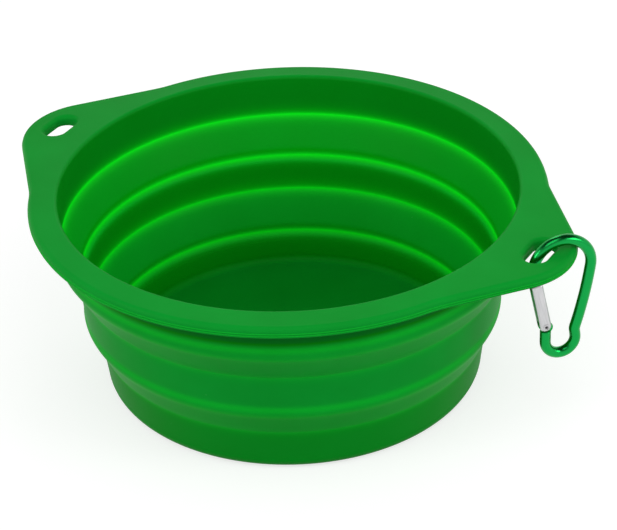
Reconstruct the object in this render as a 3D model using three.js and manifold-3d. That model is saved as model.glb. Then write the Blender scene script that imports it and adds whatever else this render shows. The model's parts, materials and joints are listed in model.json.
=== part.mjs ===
// Collapsible silicone travel bowl for pets, with a small carabiner hung in one of its two ears.
// Millimetres, +Z up. The origin is the centre of the flat underside, and the ears lie along X.

import * as THREE from 'three';
import { mergeVertices } from 'three/addons/utils/BufferGeometryUtils.js';
import Module from 'manifold-3d';

const wasm = await Module();
wasm.setup();

// Height of the bowl, and of its zones from the rim down; the base takes the rest
const BOWL_HEIGHT = 73.2;
const RIM_THICKNESS = 4.1;
const UPPER_WALL_HEIGHT = 11.6;
const UPPER_FOLD_HEIGHT = 14.2;
const MIDDLE_HEIGHT = 13.6;
const LOWER_FOLD_HEIGHT = 14.3;

// Radius of the mouth, and how far each zone draws in on its way down
const MOUTH_RADIUS = 80.2;
const UPPER_WALL_TAPER = 0.55;
const UPPER_FOLD_INSET = 6.6;
const MIDDLE_TAPER = 1.05;
const LOWER_FOLD_INSET = 5.5;
const BASE_TAPER = 3.9;

// Walls: the panels are stiff, the living hinges between them are thin
const WALL = 2.2;
const HINGE_WALL = 1.1;
const HINGE_BLEND = 2.4;
const HINGE_GAP = 0.2;
const FLOOR_THICKNESS = 2.6;
const FLOOR_FILLET = 2.5;
const FOOT_ROUND = 1.4;

// Rim flange and its two ears
const FLANGE_WIDTH = 10.2;
const RIM_EDGE_ROUND = 1.8;
const MOUTH_ROUND = 1.4;
const EAR_PROJECTION = 16.9;
const EAR_TIP_RADIUS = 26;
const EAR_FILLET = 35;
const EAR_HALF_ANGLE = THREE.MathUtils.degToRad(30);
const SLOT_LENGTH = 15.2;
const SLOT_WIDTH = 8.4;
const SLOT_RIM_OFFSET = 5.8;
const SLOT_EDGE_ROUND = 1.2;

// Carabiner frame: crown, kinked spine and hinge loop, centres measured from the crown's centre
const ROD_DIAMETER = 3.8;
const CROWN_RADIUS = 10.2;
const SPINE_RADIUS = 160;
const NOSE_STRAIGHT = 2.4;
const LOOP_RADIUS = 5.4;
const LOOP_DROP = 29;
const KINK_INSET = 0.4;
const KINK_RISE = 3.4;
const HINGE_RISE = 7;
const HINGE_OFFSET = 0.45;
const EYE_RADIUS = 2.2;
const LUG_OFFSET = 1;
const LUG_DROP = 1.2;
const EYE_THICKNESS = 1.5;
const TONGUE_LENGTH = 2.4;

// Where the carabiner hangs: how far its nose stands from the slot's middle, to the bowl and to one end
const HANG_TURN = THREE.MathUtils.degToRad(46);
const HANG_CLEARANCE = 0.3;
const HANG_SETBACK = 0.95;
const HANG_SHIFT = 2.6;

// Gate with its rivet, spring and plunger
const GATE_WIDTH = 4.2;
const GATE_THICKNESS = 4.2;
const GATE_EDGE_ROUND = 1.2;
const RIVET_DIAMETER = 1.6;
const RIVET_HEAD_DIAMETER = 2.4;
const RIVET_HEAD_HEIGHT = 0.2;
const RIVET_DIMPLE = 0.5;
const SPRING_WIRE = 0.3;
const SPRING_TURNS = 7;
const SPRING_PITCH = 1.05;
const PLUNGER_LENGTH = 2.4;
const GATE_BORE_DIAMETER = 2;

// Clearances between the carabiner's pieces
const RUNNING_GAP = 0.3;
const PIN_GAP = 0.1;
const FACE_GAP = 0.1;
const BORE_GAP = 0.15;
const LATCH_WEB = 0.9;

// Facet counts
const BOWL_SEGMENTS = 64;
const ARC_DIVISIONS = 7;
const FILLET_STEPS = 3;
const EDGE_STEPS = 2;
const ROD_DIVISIONS = 6;
const ROD_STEPS = 64;
const PIN_SEGMENTS = 16;
const COIL_STEPS = 8;
const COIL_SIDES = 5;

const MERGE_TOLERANCE = 1e-4;
const QUARTER_TURN = Math.PI / 2;
const HALF_TURN = Math.PI;

// Values worked out from the driving dimensions
const rimRadius = MOUTH_RADIUS + FLANGE_WIDTH;
const rimTop = BOWL_HEIGHT;
const rimUnderside = rimTop - RIM_THICKNESS;
const hinge1Height = rimUnderside - UPPER_WALL_HEIGHT;
const hinge2Height = hinge1Height - UPPER_FOLD_HEIGHT;
const hinge3Height = hinge2Height - MIDDLE_HEIGHT;
const hinge4Height = hinge3Height - LOWER_FOLD_HEIGHT;

const SILICONE = { color: 0x1c8f32, roughness: 0.5, metalness: 0 };
const GREEN_ANODISED = { color: 0x1a9b46, roughness: 0.3, metalness: 1 };
const BARE_ALUMINIUM = { color: 0xc8c8ca, roughness: 0.35, metalness: 1 };
const SPRING_STEEL = { color: 0x9a9a9c, roughness: 0.3, metalness: 1 };

function namedMesh(name, geometry, finish) {
  const mesh = new THREE.Mesh(geometry, new THREE.MeshStandardMaterial(finish));
  mesh.name = name;
  return mesh;
}

function solidFrom(geometry) {
  const bare = geometry.index ? geometry.toNonIndexed() : geometry.clone();
  bare.deleteAttribute('normal');
  bare.deleteAttribute('uv');
  const merged = mergeVertices(bare, MERGE_TOLERANCE);
  return new wasm.Manifold(new wasm.Mesh({
    numProp: 3,
    vertProperties: new Float32Array(merged.getAttribute('position').array),
    triVerts: new Uint32Array(merged.index.array),
  }));
}

function geometryFrom(solid) {
  const mesh = solid.getMesh();
  const geometry = new THREE.BufferGeometry();
  geometry.setAttribute('position', new THREE.BufferAttribute(mesh.vertProperties, 3));
  geometry.setIndex(new THREE.BufferAttribute(mesh.triVerts, 1));
  geometry.computeVertexNormals();
  return geometry;
}

function joined(first, ...others) {
  const solid = others.reduce((sum, next) => sum.add(solidFrom(next)), solidFrom(first));
  return geometryFrom(solid);
}

function cutBy(first, ...tools) {
  const solid = tools.reduce((rest, tool) => rest.subtract(solidFrom(tool)), solidFrom(first));
  return geometryFrom(solid);
}

// Turns a profile of (radius, height) points about Z. The points run anticlockwise round the section.
function turned(profile, segments) {
  return new THREE.LatheGeometry(profile, segments).rotateX(QUARTER_TURN);
}

function closed(profile) {
  return [...profile, profile[0].clone()];
}

function onCircle(centre, radius, angle) {
  return new THREE.Vector2(centre.x + radius * Math.cos(angle), centre.y + radius * Math.sin(angle));
}

function arcPoints(centre, radius, from, to, steps) {
  const angles = Array.from({ length: steps + 1 }, (_, step) => from + (to - from) * step / steps);
  return angles.map((angle) => onCircle(centre, radius, angle));
}

function block(low, high) {
  const size = high.clone().sub(low);
  const middle = low.clone().add(high).multiplyScalar(0.5);
  return new THREE.BoxGeometry(size.x, size.y, size.z).translate(middle.x, middle.y, middle.z);
}

function roundBar(radius, length, segments = PIN_SEGMENTS) {
  return new THREE.CylinderGeometry(radius, radius, length, segments);
}

// Middle line of the wall from the rim down to the foot, as (radius, height)
const wallTop = new THREE.Vector2(MOUTH_RADIUS + WALL / 2, rimUnderside);
const hinge1 = new THREE.Vector2(wallTop.x - UPPER_WALL_TAPER, hinge1Height);
const hinge2 = new THREE.Vector2(hinge1.x - UPPER_FOLD_INSET, hinge2Height);
const hinge3 = new THREE.Vector2(hinge2.x - MIDDLE_TAPER, hinge3Height);
const hinge4 = new THREE.Vector2(hinge3.x - LOWER_FOLD_INSET, hinge4Height);
const foot = new THREE.Vector2(hinge4.x - BASE_TAPER, 0);

function outwardNormal(upper, lower) {
  const along = lower.clone().sub(upper).normalize();
  return new THREE.Vector2(-along.y, along.x);
}

// A living hinge: the two walls that meet there share one mitred edge of the thin wall
function mitre(above, hinge, below) {
  const outward = outwardNormal(above, hinge).add(outwardNormal(hinge, below)).normalize();
  const downward = new THREE.Vector2(outward.y, -outward.x);
  return { hinge, outward, downward };
}

const mitre1 = mitre(wallTop, hinge1, hinge2);
const mitre2 = mitre(hinge1, hinge2, hinge3);
const mitre3 = mitre(hinge2, hinge3, hinge4);
const mitre4 = mitre(hinge3, hinge4, foot);

// Edge of a zone at a hinge: side is 1 outside and -1 inside, shift is 1 below the hinge and -1 above it
function hingeEdge(at, side, shift) {
  return at.hinge.clone()
    .addScaledVector(at.outward, side * HINGE_WALL / 2)
    .addScaledVector(at.downward, shift * HINGE_GAP / 2);
}

// Where a wall reaches its full thickness, a blend length away from a hinge
function fullWall(from, towards, side) {
  const along = towards.clone().sub(from).normalize();
  const outward = from.y > towards.y ? outwardNormal(from, towards) : outwardNormal(towards, from);
  return from.clone().addScaledVector(along, HINGE_BLEND).addScaledVector(outward, side * WALL / 2);
}

// A ring of wall between two hinges, thin at both ends
function ringBetween(upper, lower) {
  const section = [
    hingeEdge(lower, 1, -1),
    fullWall(lower.hinge, upper.hinge, 1),
    fullWall(upper.hinge, lower.hinge, 1),
    hingeEdge(upper, 1, 1),
    hingeEdge(upper, -1, 1),
    fullWall(upper.hinge, lower.hinge, -1),
    fullWall(lower.hinge, upper.hinge, -1),
    hingeEdge(lower, -1, -1),
  ];
  return turned(closed(section), BOWL_SEGMENTS);
}

// Flat floor and lowest wall, with a rounded foot and a fillet where the floor meets the wall
function baseCup() {
  const slope = (hinge4.x - foot.x) / hinge4Height;
  const outerRadius = (height) => foot.x + WALL / 2 + slope * height;
  const innerRadius = (height) => foot.x - WALL / 2 + slope * height;
  const footCentre = new THREE.Vector2(outerRadius(FOOT_ROUND) - FOOT_ROUND, FOOT_ROUND);
  const filletTop = FLOOR_THICKNESS + FLOOR_FILLET;
  const filletCentre = new THREE.Vector2(innerRadius(filletTop) - FLOOR_FILLET, filletTop);
  const profile = [
    new THREE.Vector2(0, 0),
    ...arcPoints(footCentre, FOOT_ROUND, -QUARTER_TURN, 0, FILLET_STEPS),
    fullWall(hinge4, foot, 1),
    hingeEdge(mitre4, 1, 1),
    hingeEdge(mitre4, -1, 1),
    fullWall(hinge4, foot, -1),
    ...arcPoints(filletCentre, FLOOR_FILLET, 0, -QUARTER_TURN, FILLET_STEPS),
    new THREE.Vector2(0, FLOOR_THICKNESS),
  ];
  return turned(profile, BOWL_SEGMENTS);
}

// Plan of the rim with its ears: each ear has a round tip, straight flanks and a fillet into the rim
const earReach = rimRadius + EAR_PROJECTION;
const earTipCentre = earReach - EAR_TIP_RADIUS;
const slotCentre = rimRadius + SLOT_RIM_OFFSET;
const lipWidth = 2 * SLOT_EDGE_ROUND;
const lipOpening = (SLOT_EDGE_ROUND + lipWidth) / 2;

function rimPlan(inset) {
  const tip = EAR_TIP_RADIUS - inset;
  const fillet = EAR_FILLET + inset;
  const rim = rimRadius - inset;
  const filletX = (rimRadius + EAR_FILLET) * Math.cos(EAR_HALF_ANGLE);
  const filletY = (rimRadius + EAR_FILLET) * Math.sin(EAR_HALF_ANGLE);
  const spread = Math.hypot(filletX - earTipCentre, filletY);
  const flank = Math.atan2(filletY, filletX - earTipCentre) - Math.acos((tip + fillet) / spread);
  const plan = new THREE.Shape();
  plan.absarc(earTipCentre, 0, tip, -flank, flank, false);
  plan.absarc(filletX, filletY, fillet, flank + HALF_TURN, EAR_HALF_ANGLE + HALF_TURN, true);
  plan.absarc(0, 0, rim, EAR_HALF_ANGLE, HALF_TURN - EAR_HALF_ANGLE, false);
  plan.absarc(-filletX, filletY, fillet, -EAR_HALF_ANGLE, -flank, true);
  plan.absarc(-earTipCentre, 0, tip, HALF_TURN - flank, HALF_TURN + flank, false);
  plan.absarc(-filletX, -filletY, fillet, flank, EAR_HALF_ANGLE, true);
  plan.absarc(0, 0, rim, HALF_TURN + EAR_HALF_ANGLE, 2 * HALF_TURN - EAR_HALF_ANGLE, false);
  plan.absarc(filletX, -filletY, fillet, HALF_TURN - EAR_HALF_ANGLE, HALF_TURN - flank, true);
  return plan;
}

// Outline of the slot across an ear, SLOT_LENGTH long along Y with round ends, grown by an offset
function slotOutline(centre, grow) {
  const endRadius = SLOT_WIDTH / 2 + grow;
  const endOffset = (SLOT_LENGTH - SLOT_WIDTH) / 2;
  const outline = new THREE.Shape();
  outline.absarc(centre, endOffset, endRadius, 0, HALF_TURN, false);
  outline.absarc(centre, -endOffset, endRadius, HALF_TURN, 2 * HALF_TURN, false);
  return outline;
}

// Opening in the flange, a little wider than the slot, which the slot's rounded lip then fills
function lipCutter(centre) {
  const depth = RIM_THICKNESS + 2 * RIM_EDGE_ROUND;
  const outline = slotOutline(centre, lipOpening);
  return new THREE.ExtrudeGeometry(outline, { depth, bevelEnabled: false, curveSegments: ARC_DIVISIONS })
    .translate(0, 0, rimUnderside - RIM_EDGE_ROUND);
}

function slotLip(centre) {
  const outline = slotOutline(centre, lipWidth);
  outline.holes.push(slotOutline(centre, SLOT_EDGE_ROUND));
  return new THREE.ExtrudeGeometry(outline, {
    depth: RIM_THICKNESS - 2 * SLOT_EDGE_ROUND,
    bevelThickness: SLOT_EDGE_ROUND,
    bevelSize: SLOT_EDGE_ROUND,
    bevelSegments: EDGE_STEPS,
    curveSegments: ARC_DIVISIONS,
  }).translate(0, 0, rimUnderside + SLOT_EDGE_ROUND);
}

// Flange with a rounded top edge and a square lower edge, open at the mouth and at both slots
function rimFlange() {
  const slab = new THREE.ExtrudeGeometry(rimPlan(RIM_EDGE_ROUND), {
    depth: RIM_THICKNESS,
    bevelThickness: RIM_EDGE_ROUND,
    bevelSize: RIM_EDGE_ROUND,
    bevelSegments: EDGE_STEPS,
    curveSegments: ARC_DIVISIONS,
  }).translate(0, 0, rimUnderside - RIM_EDGE_ROUND);
  const below = block(
    new THREE.Vector3(-2 * earReach, -2 * earReach, 0),
    new THREE.Vector3(2 * earReach, 2 * earReach, rimUnderside),
  );
  const mouth = roundBar(wallTop.x, 2 * (rimTop + RIM_THICKNESS), BOWL_SEGMENTS).rotateX(QUARTER_TURN);
  const flange = cutBy(slab, below, mouth, lipCutter(slotCentre), lipCutter(-slotCentre));
  return joined(flange, slotLip(slotCentre), slotLip(-slotCentre));
}

// Upper wall, carried up through the flange to the rounded edge of the mouth
function upperWall() {
  const mouthRound = new THREE.Vector2(MOUTH_RADIUS + MOUTH_ROUND, rimTop - MOUTH_ROUND);
  const section = [
    hingeEdge(mitre1, 1, -1),
    fullWall(hinge1, wallTop, 1),
    new THREE.Vector2(wallTop.x + WALL / 2, rimTop),
    ...arcPoints(mouthRound, MOUTH_ROUND, QUARTER_TURN, HALF_TURN, FILLET_STEPS),
    fullWall(hinge1, wallTop, -1),
    hingeEdge(mitre1, -1, -1),
  ];
  return turned(closed(section), BOWL_SEGMENTS);
}

// Carabiner outline in its own plane: X away from the nose, Y up, origin at the crown's centre
const rodRadius = ROD_DIAMETER / 2;
const crownCentre = new THREE.Vector2(0, 0);
const loopCentre = new THREE.Vector2(0, -LOOP_DROP);
const pivot = new THREE.Vector2(-LOOP_RADIUS - HINGE_OFFSET, loopCentre.y + HINGE_RISE);
const kink = new THREE.Vector2(LOOP_RADIUS - KINK_INSET, loopCentre.y + KINK_RISE);

// Angle, seen from both centres, of the outer tangent that runs clockwise from one circle to the next
function tangentAngle(from, fromRadius, to, toRadius) {
  const across = to.clone().sub(from);
  return Math.atan2(across.y, across.x) + Math.acos((fromRadius - toRadius) / across.length());
}

// Angle on the crown where the bowed spine leaves it: its arc is tangent there and runs to the kink
function spineStart() {
  const across = kink.clone().sub(crownCentre);
  const setback = SPINE_RADIUS - CROWN_RADIUS;
  const share = (SPINE_RADIUS ** 2 - setback ** 2 - across.lengthSq()) / (2 * setback * across.length());
  return Math.atan2(across.y, across.x) + Math.acos(share);
}

const gateTangent = tangentAngle(pivot, 0, crownCentre, CROWN_RADIUS);
const spineTangent = spineStart();
const spineCentre = onCircle(crownCentre, CROWN_RADIUS - SPINE_RADIUS, spineTangent);
const spineEnd = Math.atan2(kink.y - spineCentre.y, kink.x - spineCentre.x);
const loopTangent = tangentAngle(kink, 0, loopCentre, LOOP_RADIUS);
const gateLean = gateTangent - HALF_TURN;
const gateRun = Math.sqrt(crownCentre.distanceToSquared(pivot) - CROWN_RADIUS ** 2);
const gateDirection = new THREE.Vector2(-Math.sin(gateLean), Math.cos(gateLean));
const noseEnd = gateRun - NOSE_STRAIGHT;
const gateLength = noseEnd - RUNNING_GAP;
const eyeShoulder = EYE_RADIUS + FACE_GAP;

class PlaneArc extends THREE.Curve {
  constructor(centre, radius, from, to) {
    super();
    Object.assign(this, { centre, radius, from, to });
  }

  getPoint(t, target = new THREE.Vector3()) {
    const place = onCircle(this.centre, this.radius, this.from + (this.to - this.from) * t);
    return target.set(place.x, place.y, 0);
  }
}

function straight(from, to) {
  return new THREE.LineCurve3(new THREE.Vector3(from.x, from.y, 0), new THREE.Vector3(to.x, to.y, 0));
}

// Rod from the nose over the crown, down the spine, through the kink and round the hinge loop
function rodPath() {
  const noseStart = pivot.clone().addScaledVector(gateDirection, noseEnd);
  const rodEnd = new THREE.Vector2(-LOOP_RADIUS, pivot.y - eyeShoulder);
  const path = new THREE.CurvePath();
  path.add(straight(noseStart, onCircle(crownCentre, CROWN_RADIUS, gateTangent)));
  path.add(new PlaneArc(crownCentre, CROWN_RADIUS, gateTangent, spineTangent));
  path.add(new PlaneArc(spineCentre, SPINE_RADIUS, spineTangent, spineEnd));
  path.add(straight(kink, onCircle(loopCentre, LOOP_RADIUS, loopTangent)));
  path.add(new PlaneArc(loopCentre, LOOP_RADIUS, loopTangent, -HALF_TURN));
  path.add(straight(new THREE.Vector2(-LOOP_RADIUS, loopCentre.y), rodEnd));
  return path;
}

// Round bar along the out-of-plane direction of the carabiner
function crossBar(radius, length) {
  return roundBar(radius, length).rotateX(QUARTER_TURN);
}

// Places a piece that is drawn along +Y from the pivot on the line of the closed gate
function onGateLine(geometry) {
  return geometry.rotateZ(gateLean).translate(pivot.x, pivot.y, 0);
}

function carabinerFrame() {
  const section = new THREE.Shape().absarc(0, 0, rodRadius, 0, 2 * HALF_TURN, false);
  const rod = new THREE.ExtrudeGeometry(section, {
    steps: ROD_STEPS,
    curveSegments: ROD_DIVISIONS,
    extrudePath: rodPath(),
  });
  const eye = crossBar(EYE_RADIUS, EYE_THICKNESS).translate(pivot.x, pivot.y, 0);
  const lug = crossBar(EYE_RADIUS, EYE_THICKNESS).translate(pivot.x + LUG_OFFSET, pivot.y - LUG_DROP, 0);
  const stem = block(
    new THREE.Vector3(-LOOP_RADIUS - rodRadius, pivot.y - eyeShoulder - rodRadius, -EYE_THICKNESS / 2),
    new THREE.Vector3(-LOOP_RADIUS + rodRadius, pivot.y - RIVET_DIAMETER, EYE_THICKNESS / 2),
  );
  const tongue = onGateLine(block(
    new THREE.Vector3(-rodRadius, noseEnd - TONGUE_LENGTH, -EYE_THICKNESS / 2),
    new THREE.Vector3(GATE_WIDTH / 2 - LATCH_WEB - RUNNING_GAP, noseEnd + rodRadius, EYE_THICKNESS / 2),
  ));
  const eyeHole = crossBar(RIVET_DIAMETER / 2 + PIN_GAP, GATE_THICKNESS).translate(pivot.x, pivot.y, 0);
  return cutBy(joined(rod, eye, lug, stem, tongue), eyeHole);
}

// Bar with a round hinge end, forked at both ends: round the hinge eye and round the nose's tongue
function gateBar() {
  const half = GATE_WIDTH / 2 - GATE_EDGE_ROUND;
  const outline = new THREE.Shape();
  outline.moveTo(half, 0);
  outline.lineTo(half, gateLength - GATE_EDGE_ROUND);
  outline.lineTo(-half, gateLength - GATE_EDGE_ROUND);
  outline.lineTo(-half, 0);
  outline.absarc(0, 0, half, HALF_TURN, 2 * HALF_TURN, false);
  const bar = new THREE.ExtrudeGeometry(outline, {
    depth: GATE_THICKNESS - 2 * GATE_EDGE_ROUND,
    bevelThickness: GATE_EDGE_ROUND,
    bevelSize: GATE_EDGE_ROUND,
    bevelSegments: EDGE_STEPS,
    curveSegments: ROD_DIVISIONS,
  }).translate(0, 0, GATE_EDGE_ROUND - GATE_THICKNESS / 2);
  const halfSlot = EYE_THICKNESS / 2 + RUNNING_GAP;
  const hingeSlot = block(
    new THREE.Vector3(-GATE_WIDTH, -GATE_WIDTH, -halfSlot),
    new THREE.Vector3(GATE_WIDTH, eyeShoulder + RUNNING_GAP, halfSlot),
  );
  const latchSlot = block(
    new THREE.Vector3(-GATE_WIDTH, noseEnd - TONGUE_LENGTH - RUNNING_GAP, -halfSlot),
    new THREE.Vector3(GATE_WIDTH / 2 - LATCH_WEB, noseEnd, halfSlot),
  );
  const bore = roundBar(GATE_BORE_DIAMETER / 2, springTop + FACE_GAP);
  bore.translate(0, (springTop + FACE_GAP) / 2, 0);
  const rivetHole = crossBar(RIVET_DIAMETER / 2 + PIN_GAP, 2 * GATE_THICKNESS);
  return onGateLine(cutBy(bar, hingeSlot, latchSlot, bore, rivetHole));
}

// Rivet through the fork and the eye, with a dimple pressed into each head
function gateRivet() {
  const shank = RIVET_DIAMETER / 2;
  const head = RIVET_HEAD_DIAMETER / 2;
  const seat = GATE_THICKNESS / 2 + FACE_GAP;
  const crown = seat + RIVET_HEAD_HEIGHT;
  const upper = [
    new THREE.Vector2(shank, seat),
    new THREE.Vector2(head, seat),
    new THREE.Vector2(shank, crown),
    new THREE.Vector2(0, crown - RIVET_DIMPLE),
  ];
  const lower = upper.map((point) => new THREE.Vector2(point.x, -point.y)).reverse();
  const rivet = turned([...lower, ...upper], PIN_SEGMENTS);
  return rivet.translate(pivot.x, pivot.y, 0);
}

// Plunger and spring stand in line in the gate's bore, on the hinge eye
const plungerTip = EYE_RADIUS + BORE_GAP;
const plungerTop = plungerTip + PLUNGER_LENGTH;
const springBottom = plungerTop + BORE_GAP;
const springTop = springBottom + SPRING_TURNS * SPRING_PITCH + SPRING_WIRE;
const boreRadius = GATE_BORE_DIAMETER / 2 - BORE_GAP;

function gatePlunger() {
  const tipRound = boreRadius / 2;
  const profile = [
    new THREE.Vector2(0, plungerTip),
    new THREE.Vector2(boreRadius - tipRound, plungerTip),
    new THREE.Vector2(boreRadius, plungerTip + tipRound),
    new THREE.Vector2(boreRadius, plungerTop),
    new THREE.Vector2(0, plungerTop),
  ];
  return onGateLine(new THREE.LatheGeometry(profile, PIN_SEGMENTS));
}

class Helix extends THREE.Curve {
  constructor(radius, pitch, turns, bottom) {
    super();
    Object.assign(this, { radius, pitch, turns, bottom });
  }

  getPoint(t, target = new THREE.Vector3()) {
    const angle = 2 * HALF_TURN * this.turns * t;
    const height = this.bottom + this.pitch * this.turns * t;
    return target.set(this.radius * Math.cos(angle), height, this.radius * Math.sin(angle));
  }
}

function gateSpring() {
  const wireRadius = SPRING_WIRE / 2;
  const coil = new Helix(boreRadius - wireRadius, SPRING_PITCH, SPRING_TURNS, springBottom + wireRadius);
  const ring = arcPoints(new THREE.Vector2(), wireRadius, 0, 2 * HALF_TURN, COIL_SIDES);
  const wire = new THREE.ExtrudeGeometry(new THREE.Shape(ring.slice(0, COIL_SIDES)), {
    steps: SPRING_TURNS * COIL_STEPS,
    extrudePath: coil,
  });
  console.log(`gate spring: ${(leastGap(coil) - SPRING_WIRE).toFixed(2)} mm between turns`);
  return onGateLine(wire);
}

// Least distance between points of a coil that lie more than half a turn apart along it
function leastGap(coil) {
  const points = coil.getPoints(SPRING_TURNS * COIL_STEPS);
  const apart = points.flatMap((point, index) => points
    .slice(index + COIL_STEPS / 2 + 1)
    .map((other) => point.distanceTo(other)));
  return Math.min(...apart);
}

// Carabiner's place: its nose stands in the slot, and its crown rests on the outer edge of the ear
function hungCarabiner() {
  const nosePlace = new THREE.Vector2(slotCentre - HANG_SETBACK, -HANG_SHIFT);
  const heading = new THREE.Vector2(Math.cos(HANG_TURN), Math.sin(HANG_TURN));
  const fromTip = nosePlace.clone().sub(new THREE.Vector2(earTipCentre, 0));
  const alongTip = fromTip.dot(heading);
  const edgeRadius = EAR_TIP_RADIUS - RIM_EDGE_ROUND;
  const edge = Math.sqrt(alongTip ** 2 - fromTip.lengthSq() + edgeRadius ** 2) - alongTip;
  const rest = CROWN_RADIUS - rodRadius - HANG_CLEARANCE - RIM_EDGE_ROUND;
  const crownDrop = Math.sqrt(rest ** 2 - (edge - CROWN_RADIUS) ** 2);
  const place = nosePlace.addScaledVector(heading, CROWN_RADIUS);
  const upright = new THREE.Group();
  upright.rotation.x = QUARTER_TURN;
  upright.add(
    namedMesh('carabiner_frame', carabinerFrame(), GREEN_ANODISED),
    namedMesh('gate', gateBar(), BARE_ALUMINIUM),
    namedMesh('gate_rivet', gateRivet(), BARE_ALUMINIUM),
    namedMesh('gate_spring', gateSpring(), SPRING_STEEL),
    namedMesh('gate_plunger', gatePlunger(), SPRING_STEEL),
  );
  const hung = new THREE.Group();
  hung.position.set(place.x, place.y, rimTop - RIM_EDGE_ROUND - crownDrop);
  hung.rotation.z = HANG_TURN;
  hung.add(upright);
  return hung;
}

const bowl = new THREE.Group();
bowl.add(
  namedMesh('base_cup', baseCup(), SILICONE),
  namedMesh('lower_fold_band', ringBetween(mitre3, mitre4), SILICONE),
  namedMesh('middle_ring', ringBetween(mitre2, mitre3), SILICONE),
  namedMesh('upper_fold_band', ringBetween(mitre1, mitre2), SILICONE),
  namedMesh('rim_ring', joined(upperWall(), rimFlange()), SILICONE),
);

const petBowl = new THREE.Group();
petBowl.add(bowl, hungCarabiner());

export default petBowl;
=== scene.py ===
"""Fine surfaces, finishes and studio for a folding silicone travel bowl and the clip in its ear.

Everything is in metres, +Z up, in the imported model's frame: the origin is the centre of the bowl's flat
underside, and the ears lie along X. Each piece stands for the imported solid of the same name.
"""

import json
import logging
import math
from dataclasses import dataclass
from enum import Enum

import bmesh
import bpy
import numpy as np
from mathutils import Matrix, Vector


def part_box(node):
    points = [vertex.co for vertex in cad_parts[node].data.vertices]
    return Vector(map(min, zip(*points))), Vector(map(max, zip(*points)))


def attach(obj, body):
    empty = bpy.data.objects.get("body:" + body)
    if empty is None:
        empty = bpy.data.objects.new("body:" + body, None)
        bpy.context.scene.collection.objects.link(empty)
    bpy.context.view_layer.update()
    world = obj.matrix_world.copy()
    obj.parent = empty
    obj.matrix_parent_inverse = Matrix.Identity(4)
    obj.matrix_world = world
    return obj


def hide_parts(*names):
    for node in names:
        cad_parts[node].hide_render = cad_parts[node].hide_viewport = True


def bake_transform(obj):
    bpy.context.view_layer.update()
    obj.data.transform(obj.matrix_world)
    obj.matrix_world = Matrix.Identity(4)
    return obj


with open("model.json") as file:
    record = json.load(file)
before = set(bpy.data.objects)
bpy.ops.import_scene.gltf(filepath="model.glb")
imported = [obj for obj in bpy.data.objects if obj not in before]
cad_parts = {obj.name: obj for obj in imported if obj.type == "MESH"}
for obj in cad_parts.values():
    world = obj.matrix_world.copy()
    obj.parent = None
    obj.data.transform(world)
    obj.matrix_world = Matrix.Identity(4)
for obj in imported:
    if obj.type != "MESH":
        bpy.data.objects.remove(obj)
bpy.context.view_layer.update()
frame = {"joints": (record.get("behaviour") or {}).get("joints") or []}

LOG = logging.getLogger("travel_bowl")

MM = 0.001
FULL_TURN = 2.0 * math.pi
HALF_TURN = math.pi
QUARTER_TURN = math.pi / 2.0
EAR_TURNS = (0.0, HALF_TURN)
WELD_DISTANCE = 1e-7
# Point value of the glow and highlights painted on the silicone, and of the darkening in the rivet's dimple.
PAINTED_LIGHT_AND_DIMPLE_NAME = "painted_light_and_dimple_mark"
# Point value of the painted shade on the silicone.
PAINTED_SHADE_NAME = "painted_shade_tone"
END_STEPS = 7
FEWEST_STEPS = 3
UP = (0.0, 0.0, 1.0)
WHITE = (1.0, 1.0, 1.0, 1.0)

Colour = tuple[float, float, float, float]
Span = tuple[float, float]
Array = np.ndarray
Seam = tuple[int, float]


class Slot(Enum):
    """The record's material slots."""

    SILICONE = "green_silicone"
    ANODISED = "green_anodised"
    ALUMINIUM = "bare_aluminium"
    STEEL = "spring_steel"


class Edge(Enum):
    """Angle in degrees past which an edge is drawn sharp."""

    MOULDED = 38.0
    MACHINED = 32.0


@dataclass
class Patch:
    """One grid surface: points by row and column, and how it closes.

    Attributes:
        points: Array of rows by columns by 3.
        wrap_rows: Whether the last row meets the first.
        wrap_columns: Whether the last column meets the first.
        mark: Optional value for each row: how much glow or highlight is painted on the silicone, or how dark
            a metal recess is made.
        tone: Optional value for each row: how much painted shade there is, below 0 where the painted shade is
            warmer.
        chart: Optional map coordinates of each point, in place of the lengths along rows and columns.
    """

    points: Array
    wrap_rows: bool = False
    wrap_columns: bool = False
    mark: Array | None = None
    tone: Array | None = None
    chart: Array | None = None

    def faces(self) -> Array:
        """Corner indices of the quads between neighbouring rows and columns.

        Returns:
            Quads by 4.
        """
        rows, columns = self.points.shape[:2]
        row = np.arange(rows if self.wrap_rows else rows - 1)
        column = np.arange(columns if self.wrap_columns else columns - 1)
        low, left = np.meshgrid(row, column, indexing="ij")
        high, right = (low + 1) % rows, (left + 1) % columns
        corners = [low * columns + left, low * columns + right, high * columns + right, high * columns + left]
        return np.stack(corners, axis=-1).reshape(-1, 4)

    def corner_map(self) -> Array:
        """Map coordinates at each quad's corners, in metres: the chart, or lengths unbroken past a seam.

        Returns:
            Corners of all quads by 2.
        """
        if self.chart is not None:
            return self.chart.reshape(-1, 2)[self.faces()].reshape(-1, 2)
        rows = self.points.shape[0]
        along = run_length(self.points[:, 0], self.wrap_rows)
        around = run_length(self.points[rows // 2], self.wrap_columns)
        row = np.arange(len(along) - 1)
        column = np.arange(len(around) - 1)
        low, left = np.meshgrid(row, column, indexing="ij")
        steps = [(low, left), (low, left + 1), (low + 1, left + 1), (low + 1, left)]
        corners = [np.stack([around[across], along[up]], axis=-1) for up, across in steps]
        return np.stack(corners, axis=-2).reshape(-1, 2)

    def point_values(self, values: Array | None) -> Array:
        """A value for each point from one for each row, zero where there is none."""
        rows, columns = self.points.shape[:2]
        return np.repeat(np.zeros(rows) if values is None else values, columns)


def run_length(points: Array, closed: bool) -> Array:
    """Distance run along a line of points, with one more entry at the end where the line is closed.

    Args:
        points: Array of points by 3.
        closed: Whether the line returns to its first point.

    Returns:
        Distances from the first point.
    """
    line = np.concatenate([points, points[:1]]) if closed else points
    steps = np.linalg.norm(np.diff(line, axis=0), axis=1)
    return np.concatenate([[0.0], np.cumsum(steps)])


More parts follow.
